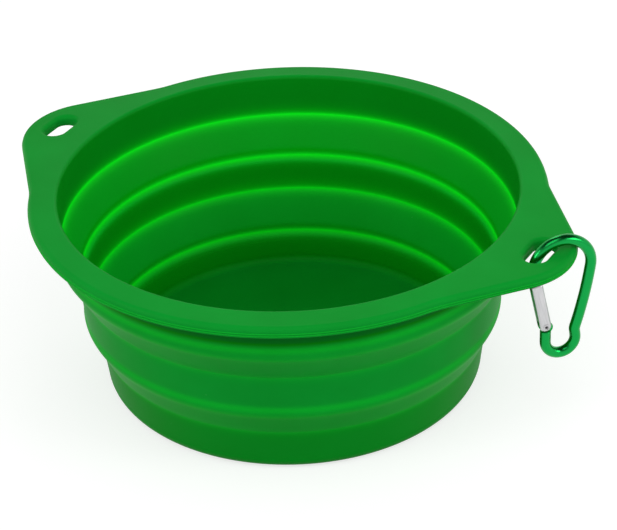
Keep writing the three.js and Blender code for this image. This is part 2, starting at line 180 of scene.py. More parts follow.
def revolve(profile: Array, angles: Array) -> Array:
    """Carries a profile of radius and height round the Z axis.

    A point of radius r and height z goes to (r cos a, r sin a, z) for each angle a.

    Args:
        profile: Array of points by 2.
        angles: Angles in radians.

    Returns:
        Array of profile points by angles by 3.
    """
    radius, height = profile[:, :1], profile[:, 1:]
    level = height * np.ones_like(angles)
    return np.stack([radius * np.cos(angles), radius * np.sin(angles), level], axis=-1)


def sweep(path: Array, normal: Array, radius: Array, count: int) -> Array:
    """Carries a circle along a path: each point plus radius times (cosine normal plus sine binormal).

    Args:
        path: Array of points by 3.
        normal: One direction square to the path for all points, or one for each.
        radius: Radius at each point.
        count: Points round the circle.

    Returns:
        Array of path points by count by 3.
    """
    angles = full_circle(count)
    tangent = np.gradient(path, axis=0)
    tangent = tangent / np.linalg.norm(tangent, axis=1)[:, None]
    first = np.broadcast_to(normal, path.shape)
    second = np.cross(tangent, first)
    rings = np.cos(angles)[:, None] * first[:, None] + np.sin(angles)[:, None] * second[:, None]
    return path[:, None] + radius[:, None, None] * rings


def round_ended(length: float, edge: float, step: float) -> tuple[Array, Array]:
    """Distances along a rod and how far its skin draws in there, with a quarter circle at both ends.

    Args:
        length: Length of the rod.
        edge: Radius of the quarter circles.
        step: Step between the distances in the middle.

    Returns:
        The distances, and the draw at each.
    """
    turn = np.linspace(0.0, QUARTER_TURN, END_STEPS)
    end = edge * (1.0 - np.cos(turn))
    middle = np.linspace(edge, length - edge, max(FEWEST_STEPS, round(length / step)))[1:-1]
    run = np.concatenate([end, middle, length - end[::-1]])
    draw = edge * (1.0 - np.sin(turn))
    return run, np.concatenate([draw, np.zeros(len(middle)), draw[::-1]])


def block(low: Array, high: Array) -> Patch:
    """Box between two corners: a pole, two rings of four corners and a pole.

    Args:
        low: Corner with the least coordinates.
        high: Corner with the greatest coordinates.

    Returns:
        The box's surface.
    """
    middle = [(low[0] + high[0]) / 2.0, (low[1] + high[1]) / 2.0]
    corners = np.array([low[:2], [high[0], low[1]], high[:2], [low[0], high[1]]])
    pole = np.tile(middle, (len(corners), 1))
    plans = [pole, corners, corners, pole]
    levels = [low[2], low[2], high[2], high[2]]
    rows = [np.column_stack([plan, np.full(len(plan), level)]) for plan, level in zip(plans, levels)]
    return Patch(np.stack(rows), wrap_columns=True)


def disc(radius: float, half: float, edge: float) -> Array:
    """Profile of a disc with rounded rims: radius and height, from pole to pole.

    Args:
        radius: Radius of the disc.
        half: Half of its thickness.
        edge: Round of its rims.

    Returns:
        The profile's points.
    """
    lower = arc((radius - edge, edge - half), edge, -QUARTER_TURN, 0.0, END_STEPS)
    upper = arc((radius - edge, half - edge), edge, 0.0, QUARTER_TURN, END_STEPS)
    return np.concatenate([[[0.0, -half]], lower, upper, [[0.0, half]]])


def arc(centre: tuple[float, float], radius: float, start: float, end: float, count: int) -> Array:
    """Points at even angles on a circle, from one angle to another, in radians."""
    angle = np.linspace(start, end, count)
    return np.stack([centre[0] + radius * np.cos(angle), centre[1] + radius * np.sin(angle)], axis=-1)


def full_circle(count: int) -> Array:
    """Even angles round a full turn, from zero."""
    return np.arange(count) * FULL_TURN / count


def along_line(at: Array, run: Array, points: Array) -> Array:
    """Points of a line at the given distances run along it, by straight steps between its own points."""
    return np.stack([np.interp(at, run, column) for column in points.T], axis=-1)


def capped(path: Array, skin: Array) -> Array:
    """A swept skin closed at both ends by a row that lies on the end of its path."""
    first, last = (np.broadcast_to(point, skin[:1].shape) for point in (path[0], path[-1]))
    return np.concatenate([first, skin, last])


def eased(count: int) -> Array:
    """Shares from 0 to 1 that crowd at both ends: half of one minus the cosine of even angles."""
    return 0.5 - 0.5 * np.cos(np.linspace(0.0, HALF_TURN, count))


def bell(distance: Array, width: float) -> Array:
    """Bell curve that is 1 at no distance: e to the minus square of distance over width."""
    return np.exp(-((distance / width) ** 2))


def new_piece(name: str, patches: list[Patch], edge: Edge) -> bpy.types.Object:
    """Makes one mesh object of grid patches, welded where they meet, with faces pointing outwards.

    Args:
        name: Name of the piece.
        patches: The grids that together close the surface.
        edge: How sharp an edge has to be before it is drawn sharp.

    Returns:
        The object, linked into the scene at the origin.
    """
    counts = [patch.points.shape[0] * patch.points.shape[1] for patch in patches]
    offsets = np.concatenate([[0], np.cumsum(counts)[:-1]])
    points = np.concatenate([patch.points.reshape(-1, 3) for patch in patches])
    faces = np.concatenate([patch.faces() + offset for patch, offset in zip(patches, offsets)])
    mesh = bpy.data.meshes.new(name)
    mesh.from_pydata(points, [], faces)
    uv = mesh.uv_layers.new(name="surface_run")
    uv.uv.foreach_set("vector", np.concatenate([patch.corner_map() for patch in patches]).ravel())
    # Painted glow and highlights on the silicone, and darkening in the rivet's dimple, for each point.
    mark = mesh.attributes.new(PAINTED_LIGHT_AND_DIMPLE_NAME, "FLOAT", "POINT")
    mark.data.foreach_set("value", np.concatenate([patch.point_values(patch.mark) for patch in patches]))
    # Painted shade on the silicone, for each point.
    tone = mesh.attributes.new(PAINTED_SHADE_NAME, "FLOAT", "POINT")
    tone.data.foreach_set("value", np.concatenate([patch.point_values(patch.tone) for patch in patches]))
    close_mesh(mesh)
    shade(mesh, edge)
    piece = bpy.data.objects.new(name, mesh)
    bpy.context.scene.collection.objects.link(piece)
    return piece


def close_mesh(mesh: bpy.types.Mesh) -> None:
    """Welds points that coincide, drops collapsed faces and turns all faces outwards.

    Args:
        mesh: The mesh to close.
    """
    work = bmesh.new()
    work.from_mesh(mesh)
    bmesh.ops.remove_doubles(work, verts=work.verts, dist=WELD_DISTANCE)
    bmesh.ops.dissolve_degenerate(work, edges=work.edges, dist=WELD_DISTANCE)
    bmesh.ops.recalc_face_normals(work, faces=work.faces)
    work.to_mesh(mesh)
    work.free()


def shade(mesh: bpy.types.Mesh, edge: Edge) -> None:
    """Shades a mesh smooth, apart from edges past the given angle.

    Args:
        mesh: The mesh to shade.
        edge: Which edges stay sharp.
    """
    mesh.polygons.foreach_set("use_smooth", np.ones(len(mesh.polygons), dtype=bool))
    mesh.set_sharp_from_angle(angle=math.radians(edge.value))
    mesh.update()


def carve(piece: bpy.types.Object, tool: bpy.types.Object, operation: str, edge: Edge) -> None:
    """Joins a tool to a piece or cuts it out, then removes the tool.

    Args:
        piece: The object that is changed.
        tool: The object that joins or cuts.
        operation: "UNION" or "DIFFERENCE".
        edge: How sharp an edge has to be before it is drawn sharp.
    """
    modifier = piece.modifiers.new("carve", "BOOLEAN")
    modifier.object = tool
    modifier.operation = operation
    modifier.solver = "EXACT"
    graph = bpy.context.evaluated_depsgraph_get()
    carved = bpy.data.meshes.new_from_object(piece.evaluated_get(graph))
    plain = piece.data
    piece.modifiers.clear()
    piece.data = carved
    carved.name = piece.name
    bpy.data.meshes.remove(plain)
    bpy.data.meshes.remove(tool.data)
    close_mesh(carved)
    shade(carved, edge)


class MixSockets(Enum):
    """What a Mix node mixes, and the places of its two inputs and its result for that."""

    COLOUR = ("RGBA", 6, 7, 2)
    VALUE = ("FLOAT", 2, 3, 0)


class Wiring:
    """Adds nodes to one node tree and links them."""

    def __init__(self, tree: bpy.types.NodeTree) -> None:
        """Keeps the tree that nodes are added to."""
        self.tree = tree

    def node(self, kind: str, **inputs: object) -> bpy.types.Node:
        """Adds a node and sets or links its inputs by name, with spaces written as underscores.

        Args:
            kind: The node's type name.
            **inputs: A socket to link from, or a plain value, for each named input.

        Returns:
            The new node.
        """
        made = self.tree.nodes.new(kind)
        self.feed_named(made, inputs)
        return made

    def group(self, tree: bpy.types.NodeTree, **inputs: object) -> bpy.types.Node:
        """Places a node group and sets or links its inputs by name.

        Args:
            tree: The group's own tree.
            **inputs: A socket to link from, or a plain value, for each named input.

        Returns:
            The new node.
        """
        made = self.tree.nodes.new("ShaderNodeGroup")
        made.node_tree = tree
        self.feed_named(made, inputs)
        return made

    def feed_named(self, made: bpy.types.Node, inputs: dict[str, object]) -> None:
        """Feeds a node's inputs by name, with spaces written as underscores."""
        for name, value in inputs.items():
            self.feed(made.inputs[name.replace("_", " ")], value)

    def feed(self, socket: bpy.types.NodeSocket, value: object) -> None:
        """Links a socket from another, or sets its plain value.

        Args:
            socket: The input to feed.
            value: A socket to link from, or a plain value.
        """
        if isinstance(value, bpy.types.NodeSocket):
            self.tree.links.new(value, socket)
        else:
            socket.default_value = value

    def math(self, operation: str, first: object, second: object) -> bpy.types.NodeSocket:
        """Adds a Math node.

        Args:
            operation: The node's operation.
            first: A socket or a plain value.
            second: A socket or a plain value.

        Returns:
            The result's socket.
        """
        made = self.tree.nodes.new("ShaderNodeMath")
        made.operation = operation
        self.feed(made.inputs[0], first)
        self.feed(made.inputs[1], second)
        return made.outputs[0]

    def mix(self, share: object, first: object, second: object) -> bpy.types.NodeSocket:
        """Adds a mix of two colours and returns its result."""
        return self.blend(MixSockets.COLOUR, share, (first, second))

    def choose(self, share: object, first: object, second: object) -> bpy.types.NodeSocket:
        """Adds a mix of two plain values and returns its result."""
        return self.blend(MixSockets.VALUE, share, (first, second))

    def blend(self, sockets: MixSockets, share: object, pair: tuple[object, object]) -> bpy.types.NodeSocket:
        """Adds a Mix node.

        Args:
            sockets: What the node mixes.
            share: Share of the second input.
            pair: Both inputs, each a socket or a plain value.

        Returns:
            The result's socket.
        """
        made = self.tree.nodes.new("ShaderNodeMix")
        made.data_type, first, second, result = sockets.value
        self.feed(made.inputs[0], share)
        self.feed(made.inputs[first], pair[0])
        self.feed(made.inputs[second], pair[1])
        return made.outputs[result]

    def attribute(self, name: str) -> bpy.types.NodeSocket:
        """Adds a reader of one of the mesh's point values.

        Args:
            name: Name of the attribute.

        Returns:
            The value's socket.
        """
        made = self.tree.nodes.new("ShaderNodeAttribute")
        made.attribute_name = name
        return made.outputs["Fac"]

    def spread(self, value: object, span: Span, to: Span) -> bpy.types.NodeSocket:
        """Maps a value from one range to another, held at the ends.

        Args:
            value: A socket or a plain value.
            span: The range that it comes from.
            to: The range that it goes to.

        Returns:
            The result's socket.
        """
        made = self.node("ShaderNodeMapRange", Value=value, From_Min=span[0], From_Max=span[1])
        made.inputs["To Min"].default_value, made.inputs["To Max"].default_value = to
        return made.outputs[0]


def new_group(
    name: str, inputs: dict[str, str], outputs: dict[str, str]
) -> tuple[Wiring, bpy.types.Node, bpy.types.Node]:
    """Starts a shader node group with named sockets.

    Args:
        name: Name of the group.
        inputs: Socket type for each input name.
        outputs: Socket type for each output name.

    Returns:
        The group's wiring, its input node and its output node.
    """
    tree = bpy.data.node_groups.new(name, "ShaderNodeTree")
    for socket, kind in inputs.items():
        tree.interface.new_socket(name=socket, in_out="INPUT", socket_type=kind)
    for socket, kind in outputs.items():
        tree.interface.new_socket(name=socket, in_out="OUTPUT", socket_type=kind)
    return Wiring(tree), tree.nodes.new("NodeGroupInput"), tree.nodes.new("NodeGroupOutput")


FLOAT = "NodeSocketFloat"
VECTOR = "NodeSocketVector"
NOISE_SPAN = (0.3, 0.7)
RISING = (0.0, 1.0)
FALLING = (1.0, 0.0)
FINE_DETAIL = 2.0
SLOW_DETAIL = 3.0


def grain_group() -> bpy.types.NodeTree:
    """Fine moulded or blasted grain: two scales of noise, as a height and as a slow drift of tone.

    Returns:
        The group's tree.
    """
    wiring, given, result = new_group(
        "fine_grain",
        {"Place": VECTOR, "Grains per metre": FLOAT, "Drifts per metre": FLOAT},
        {"Height": FLOAT, "Drift": FLOAT},
    )
    layers = [("Height", "Grains per metre", FINE_DETAIL), ("Drift", "Drifts per metre", SLOW_DETAIL)]
    for output, scale, detail in layers:
        noise = wiring.node(
            "ShaderNodeTexNoise", Vector=given.outputs["Place"], Scale=given.outputs[scale], Detail=detail
        )
        wiring.feed(result.inputs[output], noise.outputs["Fac"])
    return wiring.tree


def speck_group() -> bpy.types.NodeTree:
    """Sparse specks of lint or pits: small round spots in scattered cells, as a mask.

    Returns:
        The group's tree.
    """
    wiring, given, result = new_group(
        "scattered_specks",
        {"Place": VECTOR, "Cells per metre": FLOAT, "Speck size": FLOAT, "Share": FLOAT},
        {"Mask": FLOAT},
    )
    place, scale = given.outputs["Place"], given.outputs["Cells per metre"]
    cells = wiring.node("ShaderNodeTexVoronoi", Vector=place, Scale=scale)
    near = wiring.math("LESS_THAN", cells.outputs["Distance"], given.outputs["Speck size"])
    pick = wiring.node("ShaderNodeSeparateColor", Color=cells.outputs["Color"])
    chosen = wiring.math("LESS_THAN", pick.outputs[0], given.outputs["Share"])
    wiring.feed(result.inputs["Mask"], wiring.math("MULTIPLY", near, chosen))
    return wiring.tree


def drawn_group() -> bpy.types.NodeTree:
    """Lines drawn along a rod or bar: noise stretched along the piece's own length.

    Returns:
        The group's tree.
    """
    wiring, given, result = new_group(
        "drawn_lines",
        {"Run": VECTOR, "Lines per metre": FLOAT, "Breaks per metre": FLOAT},
        {"Lines": FLOAT},
    )
    parts = wiring.node("ShaderNodeSeparateXYZ", Vector=given.outputs["Run"])
    across = wiring.math("MULTIPLY", parts.outputs[0], given.outputs["Lines per metre"])
    along = wiring.math("MULTIPLY", parts.outputs[1], given.outputs["Breaks per metre"])
    place = wiring.node("ShaderNodeCombineXYZ", X=across, Y=along)
    lines = wiring.node("ShaderNodeTexNoise", Vector=place.outputs[0], Scale=1.0, Detail=SLOW_DETAIL)
    wiring.feed(result.inputs["Lines"], lines.outputs["Fac"])
    return wiring.tree


@dataclass(frozen=True)
class Effects:
    """The node groups that the finishes share."""

    grain: bpy.types.NodeTree
    specks: bpy.types.NodeTree
    drawn: bpy.types.NodeTree

    @staticmethod
    def build() -> "Effects":
        """Builds each group once."""
        return Effects(grain_group(), speck_group(), drawn_group())


def new_material(name: str) -> tuple[bpy.types.Material, Wiring, bpy.types.Node]:
    """Starts a material with one Principled shader.

    Args:
        name: The material's name.

    Returns:
        The material, its wiring and its Principled shader.
    """
    material = bpy.data.materials.new(name)
    material.use_nodes = True
    wiring = Wiring(material.node_tree)
    return material, wiring, material.node_tree.nodes["Principled BSDF"]


@dataclass(frozen=True)
class Relief:
    """Gloss and fine relief of a surface.

    Attributes:
        roughness: Mean roughness.
        drift: How far the roughness swings to either side.
        height: Height of the relief.
        strength: How much of the relief shows.
    """

    roughness: float
    drift: float
    height: float
    strength: float

    def feed(self, wiring: Wiring, shader: bpy.types.Node, grain: bpy.types.NodeSocket) -> None:
        """Lets a grain swing a shader's roughness and raise its surface.

        Args:
            wiring: Wiring of the material.
            shader: Its Principled shader.
            grain: Socket of the grain.
        """
        gloss = (self.roughness - self.drift, self.roughness + self.drift)
        wiring.feed(shader.inputs["Roughness"], wiring.spread(grain, NOISE_SPAN, gloss))
        bump = wiring.node("ShaderNodeBump", Strength=self.strength, Distance=self.height, Height=grain)
        wiring.feed(shader.inputs["Normal"], bump.outputs["Normal"])


@dataclass(frozen=True)
class SiliconeFinish:
    """Dyed silicone rubber with a satin moulded skin, with glow painted where light would pass through a
    hinge.

    Its painted shade runs from the plain dye at 0 to the inner walls' shade at 1 and the painted shadow under
    the rim at 2, and down to the warmer shade of the steep walls at -1.
    """

    body: Colour = (0.0022, 0.298, 0.0255, 1.0)
    deep: Colour = (0.0018, 0.270, 0.0215, 1.0)
    # Painted glow: light that would pass through a hinge or band, and highlights on bead edges and parting
    # ridges.
    painted_glow_colour: Colour = (0.0030, 0.930, 0.0130, 1.0)
    # Painted shade of the inner walls, at tone 1.
    inner: Colour = (0.0001, 0.190, 0.0004, 1.0)
    # Warmer painted shade of the steep inner walls and the floor, at tone -1.
    warm_shade: Colour = (0.0001, 0.264, 0.0010, 1.0)
    # Painted shadow in the corner under the rim, at tone 2.
    shaded: Colour = (0.0001, 0.068, 0.0220, 1.0)
    lint: Colour = (0.2000, 0.520, 0.2400, 1.0)
    warm_shade_tones: Span = (-1.0, 0.0)
    shaded_tones: Span = (1.0, 2.0)
    relief: Relief = Relief(roughness=0.47, drift=0.07, height=0.01 * MM, strength=0.10)
    specular: float = 0.036
    grains_per_metre: float = 5200.0
    drifts_per_metre: float = 46.0
    specks_per_metre: float = 420.0
    speck_size: float = 0.045
    speck_share: float = 0.018

    def material(self, effects: Effects) -> bpy.types.Material:
        """Builds the shader: drifting tone, painted shade, painted glow at the hinges, lint specks, grain in
        the gloss and the relief.

        Args:
            effects: The shared node groups.

        Returns:
            The material.
        """
        material, wiring, shader = new_material(Slot.SILICONE.value)
        place = wiring.node("ShaderNodeTexCoord").outputs["Object"]
        grain = wiring.group(
            effects.grain,
            Place=place,
            Grains_per_metre=self.grains_per_metre,
            Drifts_per_metre=self.drifts_per_metre,
        )
        specks = wiring.group(
            effects.specks,
            Place=place,
            Cells_per_metre=self.specks_per_metre,
            Speck_size=self.speck_size,
            Share=self.speck_share,
        )
        # Painted shade by tone: warmer below 0, the inner walls' at 1 and the painted shadow under the rim at
        # 2.
        tone = wiring.attribute(PAINTED_SHADE_NAME)
        colour = wiring.mix(wiring.spread(grain.outputs["Drift"], NOISE_SPAN, RISING), self.deep, self.body)
        colour = wiring.mix(wiring.spread(tone, self.warm_shade_tones, FALLING), colour, self.warm_shade)
        colour = wiring.mix(tone, colour, self.inner)
        colour = wiring.mix(wiring.spread(tone, self.shaded_tones, RISING), colour, self.shaded)
        # Painted glow and highlights, by the mark.
        colour = wiring.mix(wiring.attribute(PAINTED_LIGHT_AND_DIMPLE_NAME), colour, self.painted_glow_colour)
        colour = wiring.mix(specks.outputs["Mask"], colour, self.lint)
        wiring.feed(shader.inputs["Base Color"], colour)
        self.relief.feed(wiring, shader, grain.outputs["Height"])
        shader.inputs["Specular IOR Level"].default_value = self.specular
        return material


@dataclass(frozen=True)
class MetalFinish:
    """Drawn metal: lines along the piece in its tone, gloss and relief, a few pits, and darkening where the
    mesh marks a recess.
    """

    name: str
    colour: Colour
    shade: Colour
    # Colour of pits, and of the darkening in the rivet's dimple.
    pit_and_dimple_dark: Colour
    relief: Relief
    lines_per_metre: float
    breaks_per_metre: float
    pits_per_metre: float = 900.0
    pit_size: float = 0.07
    pit_share: float = 0.02

    def material(self, effects: Effects) -> bpy.types.Material:
        """Builds the shader: drawn lines in the tone, the gloss and the relief, pits, and darkening of marked
        recesses.

        Args:
            effects: The shared node groups.

        Returns:
            The material.
        """
        material, wiring, shader = new_material(self.name)
        coordinates = wiring.node("ShaderNodeTexCoord")
        drawn = wiring.group(
            effects.drawn,
            Run=coordinates.outputs["UV"],
            Lines_per_metre=self.lines_per_metre,
            Breaks_per_metre=self.breaks_per_metre,
        )
        specks = wiring.group(
            effects.specks,
            Place=coordinates.outputs["Object"],
            Cells_per_metre=self.pits_per_metre,
            Speck_size=self.pit_size,
            Share=self.pit_share,
        )
        lines = drawn.outputs["Lines"]
        colour = wiring.mix(wiring.spread(lines, NOISE_SPAN, RISING), self.shade, self.colour)
        # Pits, and the darkening that the rivet marks in its dimple.
        pits_and_dimple_darkening = wiring.math("MAXIMUM", specks.outputs["Mask"], wiring.attribute(PAINTED_LIGHT_AND_DIMPLE_NAME))
        wiring.feed(shader.inputs["Base Color"], wiring.mix(pits_and_dimple_darkening, colour, self.pit_and_dimple_dark))
        self.relief.feed(wiring, shader, lines)
        shader.inputs["Metallic"].default_value = 1.0
        return material


ANODISED = MetalFinish(
    name=Slot.ANODISED.value,
    colour=(0.0100, 0.360, 0.0680, 1.0),
    shade=(0.0080, 0.320, 0.0580, 1.0),
    pit_and_dimple_dark=(0.0050, 0.200, 0.0350, 1.0),
    relief=Relief(roughness=0.24, drift=0.02, height=0.006 * MM, strength=0.04),
    lines_per_metre=6400.0,
    breaks_per_metre=90.0,
)
ALUMINIUM = MetalFinish(
    name=Slot.ALUMINIUM.value,
    colour=(0.640, 0.640, 0.650, 1.0),
    shade=(0.500, 0.500, 0.510, 1.0),
    pit_and_dimple_dark=(0.016, 0.016, 0.017, 1.0),
    relief=Relief(roughness=0.34, drift=0.06, height=0.006 * MM, strength=0.25),
    lines_per_metre=3800.0,
    breaks_per_metre=130.0,
)
STEEL = MetalFinish(
    name=Slot.STEEL.value,
    colour=(0.380, 0.380, 0.390, 1.0),
    shade=(0.300, 0.300, 0.310, 1.0),
    pit_and_dimple_dark=(0.150, 0.150, 0.150, 1.0),
    relief=Relief(roughness=0.28, drift=0.05, height=0.006 * MM, strength=0.15),
    lines_per_metre=5200.0,
    breaks_per_metre=160.0,
)


@dataclass(frozen=True)
class Finishes:
    """One material for each slot."""

    materials: dict[Slot, bpy.types.Material]

    @staticmethod
    def build() -> "Finishes":
        """Builds the shared effects and the four materials.

        Returns:
            The finishes, by slot.
        """
        effects = Effects.build()
        return Finishes({
            Slot.SILICONE: SiliconeFinish().material(effects),
            Slot.ANODISED: ANODISED.material(effects),
            Slot.ALUMINIUM: ALUMINIUM.material(effects),
            Slot.STEEL: STEEL.material(effects),
        })

    def dress(self, piece: bpy.types.Object, node: str, slot: Slot) -> None:
        """Gives a piece its material and slot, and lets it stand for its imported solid.

        Args:
            piece: The piece to dress.
            node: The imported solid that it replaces.
            slot: The record's slot.
        """
        piece.data.materials.clear()
        piece.data.materials.append(self.materials[slot])
        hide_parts(node)
        LOG.info("%s: %d faces, %s", piece.name, len(piece.data.polygons), slot.value)


def zone_joint(above: str, below: str) -> float:
    """Height of the hinge between two zones: halfway between the foot of one and the head of the other."""
    return (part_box(above)[0].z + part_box(below)[1].z) / 2.0


# The bowl's zones from the rim down, and the index of the steep panel next to each hinge between them.
ZONES = ("rim_ring", "upper_fold_band", "middle_ring", "lower_fold_band", "base_cup")
STEEP_PANELS = [0, 2, 2, 4]
NO_HINGES = (0.0, 0.0, 0.0, 0.0)


@dataclass(frozen=True)
class Skin:
    """One side of the folding wall, with a value for each hinge or panel from the rim down.

    Attributes:
        side: 1 for the side outside the middle line, -1 for the side inside it.
        groove_depths: Depth of the groove along each bend, below zero for a bead.
        bend_drops: How far below each hinge the wall bends on this side, along the steep panel next to it.
        glow_above: Length over which a hinge's painted glow fades upwards.
        glow_below: Length over which it fades downwards.
        hinge_glow: Strength of the glow painted at the hinges, where light would pass through the wall.
        panel_glow: Strength of the glow painted on the two sloping bands, where light would pass through the
            wall.
        panel_shades: Painted shade on each panel, below 0 where it is a warmer painted shade.
        groove_rises: How far above the bend the groove or bead lies.
        ledges: How far the panel above keeps its painted shade and glow past each bend.
        edge_glows: Painted highlight on the upper edge of each bead.
        edge_rises: How far above the bend that edge lies.
        crease_shades: Painted shade in the crease just above each bend.
        corner_shade: Painted shadow in the corner under the rim, past 1 where it darkens to the shadow
            colour.
        foot_shift: How much further out the lowest wall's foot stands on this side.
    """

    side: float
    groove_depths: tuple[float, ...]
    bend_drops: tuple[float, ...]
    glow_above: tuple[float, ...]
    glow_below: float
    hinge_glow: float
    panel_glow: float
    panel_shades: tuple[float, ...]
    groove_rises: tuple[float, ...] = NO_HINGES
    ledges: tuple[float, ...] = NO_HINGES
    edge_glows: tuple[float, ...] = NO_HINGES
    edge_rises: tuple[float, ...] = NO_HINGES
    crease_shades: tuple[float, ...] = NO_HINGES
    corner_shade: float = 0.0
    foot_shift: float = 0.0


INNER_SKIN = Skin(
    side=-1.0,
    groove_depths=(0.4 * MM, 1.0 * MM, 0.4 * MM, 1.0 * MM),
    bend_drops=(0.0, 0.0, 0.0, 1.2 * MM),
    glow_above=(1.4 * MM, 0.9 * MM, 1.5 * MM, 0.9 * MM),
    glow_below=1.2 * MM,
    hinge_glow=0.95,
    panel_glow=0.16,
    panel_shades=(0.74, 0.52, -0.85, 0.14, -0.85),
    ledges=(0.0, 1.8 * MM, 0.0, 1.8 * MM),
    crease_shades=(0.0, 0.45, 0.0, 0.45),
)
OUTER_SKIN = Skin(
    side=1.0,
    groove_depths=(-0.4 * MM, 0.1 * MM, -0.4 * MM, 0.1 * MM),
    bend_drops=(2.6 * MM, -0.4 * MM, 2.6 * MM, -1.9 * MM),
    glow_above=(1.2 * MM, 1.2 * MM, 1.2 * MM, 1.2 * MM),
    glow_below=1.2 * MM,
    hinge_glow=0.14,
    panel_glow=0.05,
    panel_shades=(0.0, 0.0, 0.0, 0.12, 0.50),
    groove_rises=(1.2 * MM, 0.0, 1.2 * MM, 0.0),
    edge_glows=(0.20, 0.0, 0.15, 0.0),
    edge_rises=(3.7 * MM, 0.0, 2.8 * MM, 0.0),
    corner_shade=1.45,
    foot_shift=2.1 * MM,
)


@dataclass
class Stretch:
    """A stretch of the bowl's profile: radius and height of its points, with their glow and tone."""

    points: Array
    glow: Array
    tone: Array

    @staticmethod
    def plain(points: Array, tone: float) -> "Stretch":
        """A stretch of one tone that passes no light."""
        return Stretch(points, np.zeros(len(points)), np.full(len(points), tone))

    @staticmethod
    def turned(stretches: list["Stretch"], angles: Array, closed: bool) -> Patch:
        """Joins stretches end to end and carries them round the bowl's axis.

        Args:
            stretches: The stretches in order.
            angles: Directions round the axis.
            closed: Whether the last stretch meets the first.

        Returns:
            The surface.
        """
        points = np.concatenate([stretch.points for stretch in stretches])
        glow = np.concatenate([stretch.glow for stretch in stretches])
        tone = np.concatenate([stretch.tone for stretch in stretches])
        return Patch(revolve(points, angles), wrap_rows=closed, wrap_columns=True, mark=glow, tone=tone)


@dataclass
class WallLine:
    """Profile of one side of the folding wall, by distance run down from the rim."""

    corners: Array
    skin: Skin
    wall: float
    bend: float
    groove: float
    # Sizes of the painted crease shade, the painted shadow under the rim and the painted highlight on each
    # bead's edge.
    crease_height: float = 1.8 * MM
    crease_width: float = 0.9 * MM
    corner_depth: float = 8.4 * MM
    corner_fade: float = 1.1 * MM
    edge_width: float = 1.3 * MM
    samples: int = 12000

    def __post_init__(self) -> None:
        """Runs the line once.

        Each corner first moves down the steep panel next to it by this side's drop. The tangent's angle keeps
        each panel's own slope and passes from one to the next at a hinge by half of one plus the hyperbolic
        tangent of the distance from the hinge over the bend length. Radius and height are the running sums of
        its cosine and sine.
        """
        panels = np.diff(self.corners, axis=0)
        steep = panels[STEEP_PANELS]
        moved = self.corners.copy()
        moved[-1, 0] += self.skin.foot_shift
        drops = np.array(self.skin.bend_drops)[:, None]
        moved[1:-1] += drops * steep / np.linalg.norm(steep, axis=1)[:, None]
        steps = np.diff(moved, axis=0)
        slopes = np.arctan2(steps[:, 1], steps[:, 0])
        marks = np.concatenate([[0.0], np.cumsum(np.hypot(steps[:, 0], steps[:, 1]))])
        self.lowest = moved[-2:]
        self.hinges = marks[1:-1]
        self.end = marks[-1]
        self.run = np.linspace(0.0, self.end, self.samples)
        past = 0.5 + 0.5 * np.tanh((self.run[:, None] - self.hinges) / self.bend)
        slope = slopes[0] + past @ np.diff(slopes)
        pace = self.run[1] - self.run[0]
        middle = 0.5 * (slope[1:] + slope[:-1])
        walk = np.stack([np.cos(middle), np.sin(middle)], axis=-1) * pace
        self.middle = np.concatenate([self.corners[:1], self.corners[0] + np.cumsum(walk, axis=0)])
        self.outward = np.stack([-np.sin(slope), np.cos(slope)], axis=-1)

    def at(self, seam: Seam) -> float:
        """Distance run down to a seam, which lies off one of the hinges."""
        hinge, offset = seam
        return self.hinges[hinge] + offset

    def off_hinges(self, run: Array) -> Array:
        """Distance of each place below each hinge."""
        return run[:, None] - self.hinges

    def passed(self, run: Array) -> Array:
        """How far each place is past each hinge, from 0 to 1, by half of one plus a hyperbolic tangent."""
        return 0.5 + 0.5 * np.tanh((self.off_hinges(run) - np.array(self.skin.ledges)) / self.bend)

    def stretch(self, run: Array) -> Stretch:
        """The points at the given distances, with their glow and tone."""
        return Stretch(self.points(run), self.glow(run), self.tone(run))

    def points(self, run: Array) -> Array:
        """Points that lie half the wall off its middle line, less a bell along each groove.

        Args:
            run: Distances run down the wall.

        Returns:
            Radius and height of each point.
        """
        away = self.off_hinges(run) + np.array(self.skin.groove_rises)
        grooves = bell(away, self.groove) @ np.array(self.skin.groove_depths)
        reach = self.wall / 2.0 - grooves
        middle = along_line(run, self.run, self.middle)
        outward = along_line(run, self.run, self.outward)
        return middle + self.skin.side * reach[:, None] * outward

    def glow(self, run: Array) -> Array:
        """Painted glow for light that would pass through the wall: a little on both sloping bands, and most
        at the hinges.

        Each hinge adds e to the minus distance over a fading length, each bead a bell on its upper edge, and
        each band the difference of how far a place is past its two hinges.

        Args:
            run: Distances run down the wall.

        Returns:
            A glow from 0 to 1 for each.
        """
        away = self.off_hinges(run)
        fade = np.where(away < 0.0, np.array(self.skin.glow_above), self.skin.glow_below)
        hinges = np.exp(-np.abs(away) / fade).sum(axis=1)
        past = self.passed(run)
        bands = past[:, 0] - past[:, 1] + past[:, 2] - past[:, 3]
        # Painted highlight on the upper edge of each bead.
        edges = bell(away + np.array(self.skin.edge_rises), self.edge_width) @ np.array(self.skin.edge_glows)
        return np.minimum(self.skin.hinge_glow * hinges + self.skin.panel_glow * bands + edges, 1.0)

    def tone(self, run: Array) -> Array:
        """Painted shade: each panel's own, a bell in the crease above each bend, and a smooth step for the
        painted shadow under the rim.

        Args:
            run: Distances run down the wall.

        Returns:
            A tone for each, from -1 to 2.
        """
        # Painted shade of each panel.
        panels = self.skin.panel_shades[0] + self.passed(run) @ np.diff(self.skin.panel_shades)
        # Painted shade in the crease above each bend.
        creases = bell(self.off_hinges(run) + self.crease_height, self.crease_width)
        # Painted shadow in the corner under the rim.
        corner = self.skin.corner_shade * (0.5 - 0.5 * np.tanh((run - self.corner_depth) / self.corner_fade))
        return panels + creases @ np.array(self.skin.crease_shades) + corner


